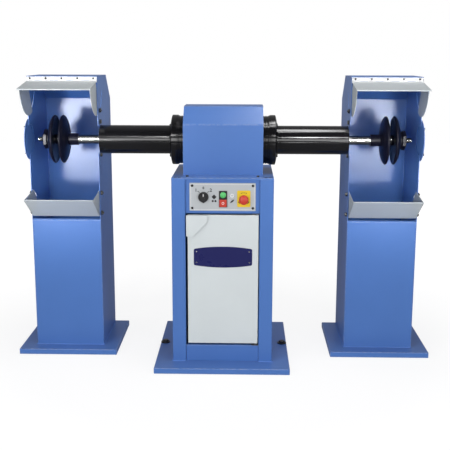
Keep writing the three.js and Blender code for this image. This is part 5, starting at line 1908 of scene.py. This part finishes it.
class BUFFING_OT_motor_housings(Operator):
    """Build the motor's end bells and the spindle tubes"""
    bl_idname = "buffing.motor_housings"
    bl_label = "Motor housings"

    def execute(self, context):
        build_motor_housings()
        build_bearings()
        return {'FINISHED'}


class BUFFING_OT_spindle(Operator):
    """Build the spindle, its flanges and its clamp nuts"""
    bl_idname = "buffing.spindle"
    bl_label = "Spindle"

    def execute(self, context):
        build_spindle()
        build_flanges()
        return {'FINISHED'}


class BUFFING_OT_hoods(Operator):
    """Build the dust hoods on their pedestals, with their bolts"""
    bl_idname = "buffing.hoods"
    bl_label = "Hoods"

    def execute(self, context):
        build_hoods()
        build_hood_fasteners()
        return {'FINISHED'}


class BUFFING_OT_visors(Operator):
    """Build the visors on their piano hinges"""
    bl_idname = "buffing.visors"
    bl_label = "Visors"

    def execute(self, context):
        build_visors()
        return {'FINISHED'}


class BUFFING_OT_scoops(Operator):
    """Build the scoops under the wheels"""
    bl_idname = "buffing.scoops"
    bl_label = "Scoops"

    def execute(self, context):
        build_scoops()
        return {'FINISHED'}


class BUFFING_OT_carried_nodes(Operator):
    """Round the edges of the CAD nodes that are still shown"""
    bl_idname = "buffing.carried_nodes"
    bl_label = "Carried nodes"

    def execute(self, context):
        round_carried_nodes()
        return {'FINISHED'}


class BUFFING_OT_stage(Operator):
    """Build the camera, the lamps, the world and the floor"""
    bl_idname = "buffing.stage"
    bl_label = "Stage"

    def execute(self, context):
        build_stage()
        return {'FINISHED'}


OPERATORS = (
    BUFFING_OT_finishes, BUFFING_OT_base_plates, BUFFING_OT_cabinet, BUFFING_OT_head_cover,
    BUFFING_OT_front_door, BUFFING_OT_control_panel, BUFFING_OT_selector, BUFFING_OT_push_buttons,
    BUFFING_OT_emergency_stop, BUFFING_OT_motor_housings, BUFFING_OT_spindle, BUFFING_OT_hoods,
    BUFFING_OT_visors, BUFFING_OT_scoops, BUFFING_OT_carried_nodes, BUFFING_OT_stage,
)


class BUFFING_PT_pieces(Panel):
    """Lists the pieces of the machine and their settings"""
    bl_idname = "BUFFING_PT_pieces"
    bl_label = "Buffing Machine"
    bl_space_type = 'VIEW_3D'
    bl_region_type = 'UI'
    bl_category = "Buffing Machine"

    def draw(self, context):
        layout = self.layout
        for operator in OPERATORS:
            layout.operator(operator.bl_idname)
        for name in SETTINGS:
            group = getattr(context.scene, name)
            box = layout.box()
            for setting in group.bl_rna.properties:
                if setting.identifier not in {"rna_type", "name"}:
                    box.prop(group, setting.identifier)


def register():
    for name, group in SETTINGS.items():
        bpy.utils.register_class(group)
        setattr(bpy.types.Scene, name, PointerProperty(type=group))
    for operator in OPERATORS:
        bpy.utils.register_class(operator)
    bpy.utils.register_class(BUFFING_PT_pieces)


def unregister():
    bpy.utils.unregister_class(BUFFING_PT_pieces)
    for operator in reversed(OPERATORS):
        bpy.utils.unregister_class(operator)
    for name, group in reversed(list(SETTINGS.items())):
        delattr(bpy.types.Scene, name)
        bpy.utils.unregister_class(group)


def main():
    register()
    for operator in OPERATORS:
        family, action = operator.bl_idname.split(".")
        getattr(getattr(bpy.ops, family), action)()


if __name__ == "__main__":
    main()
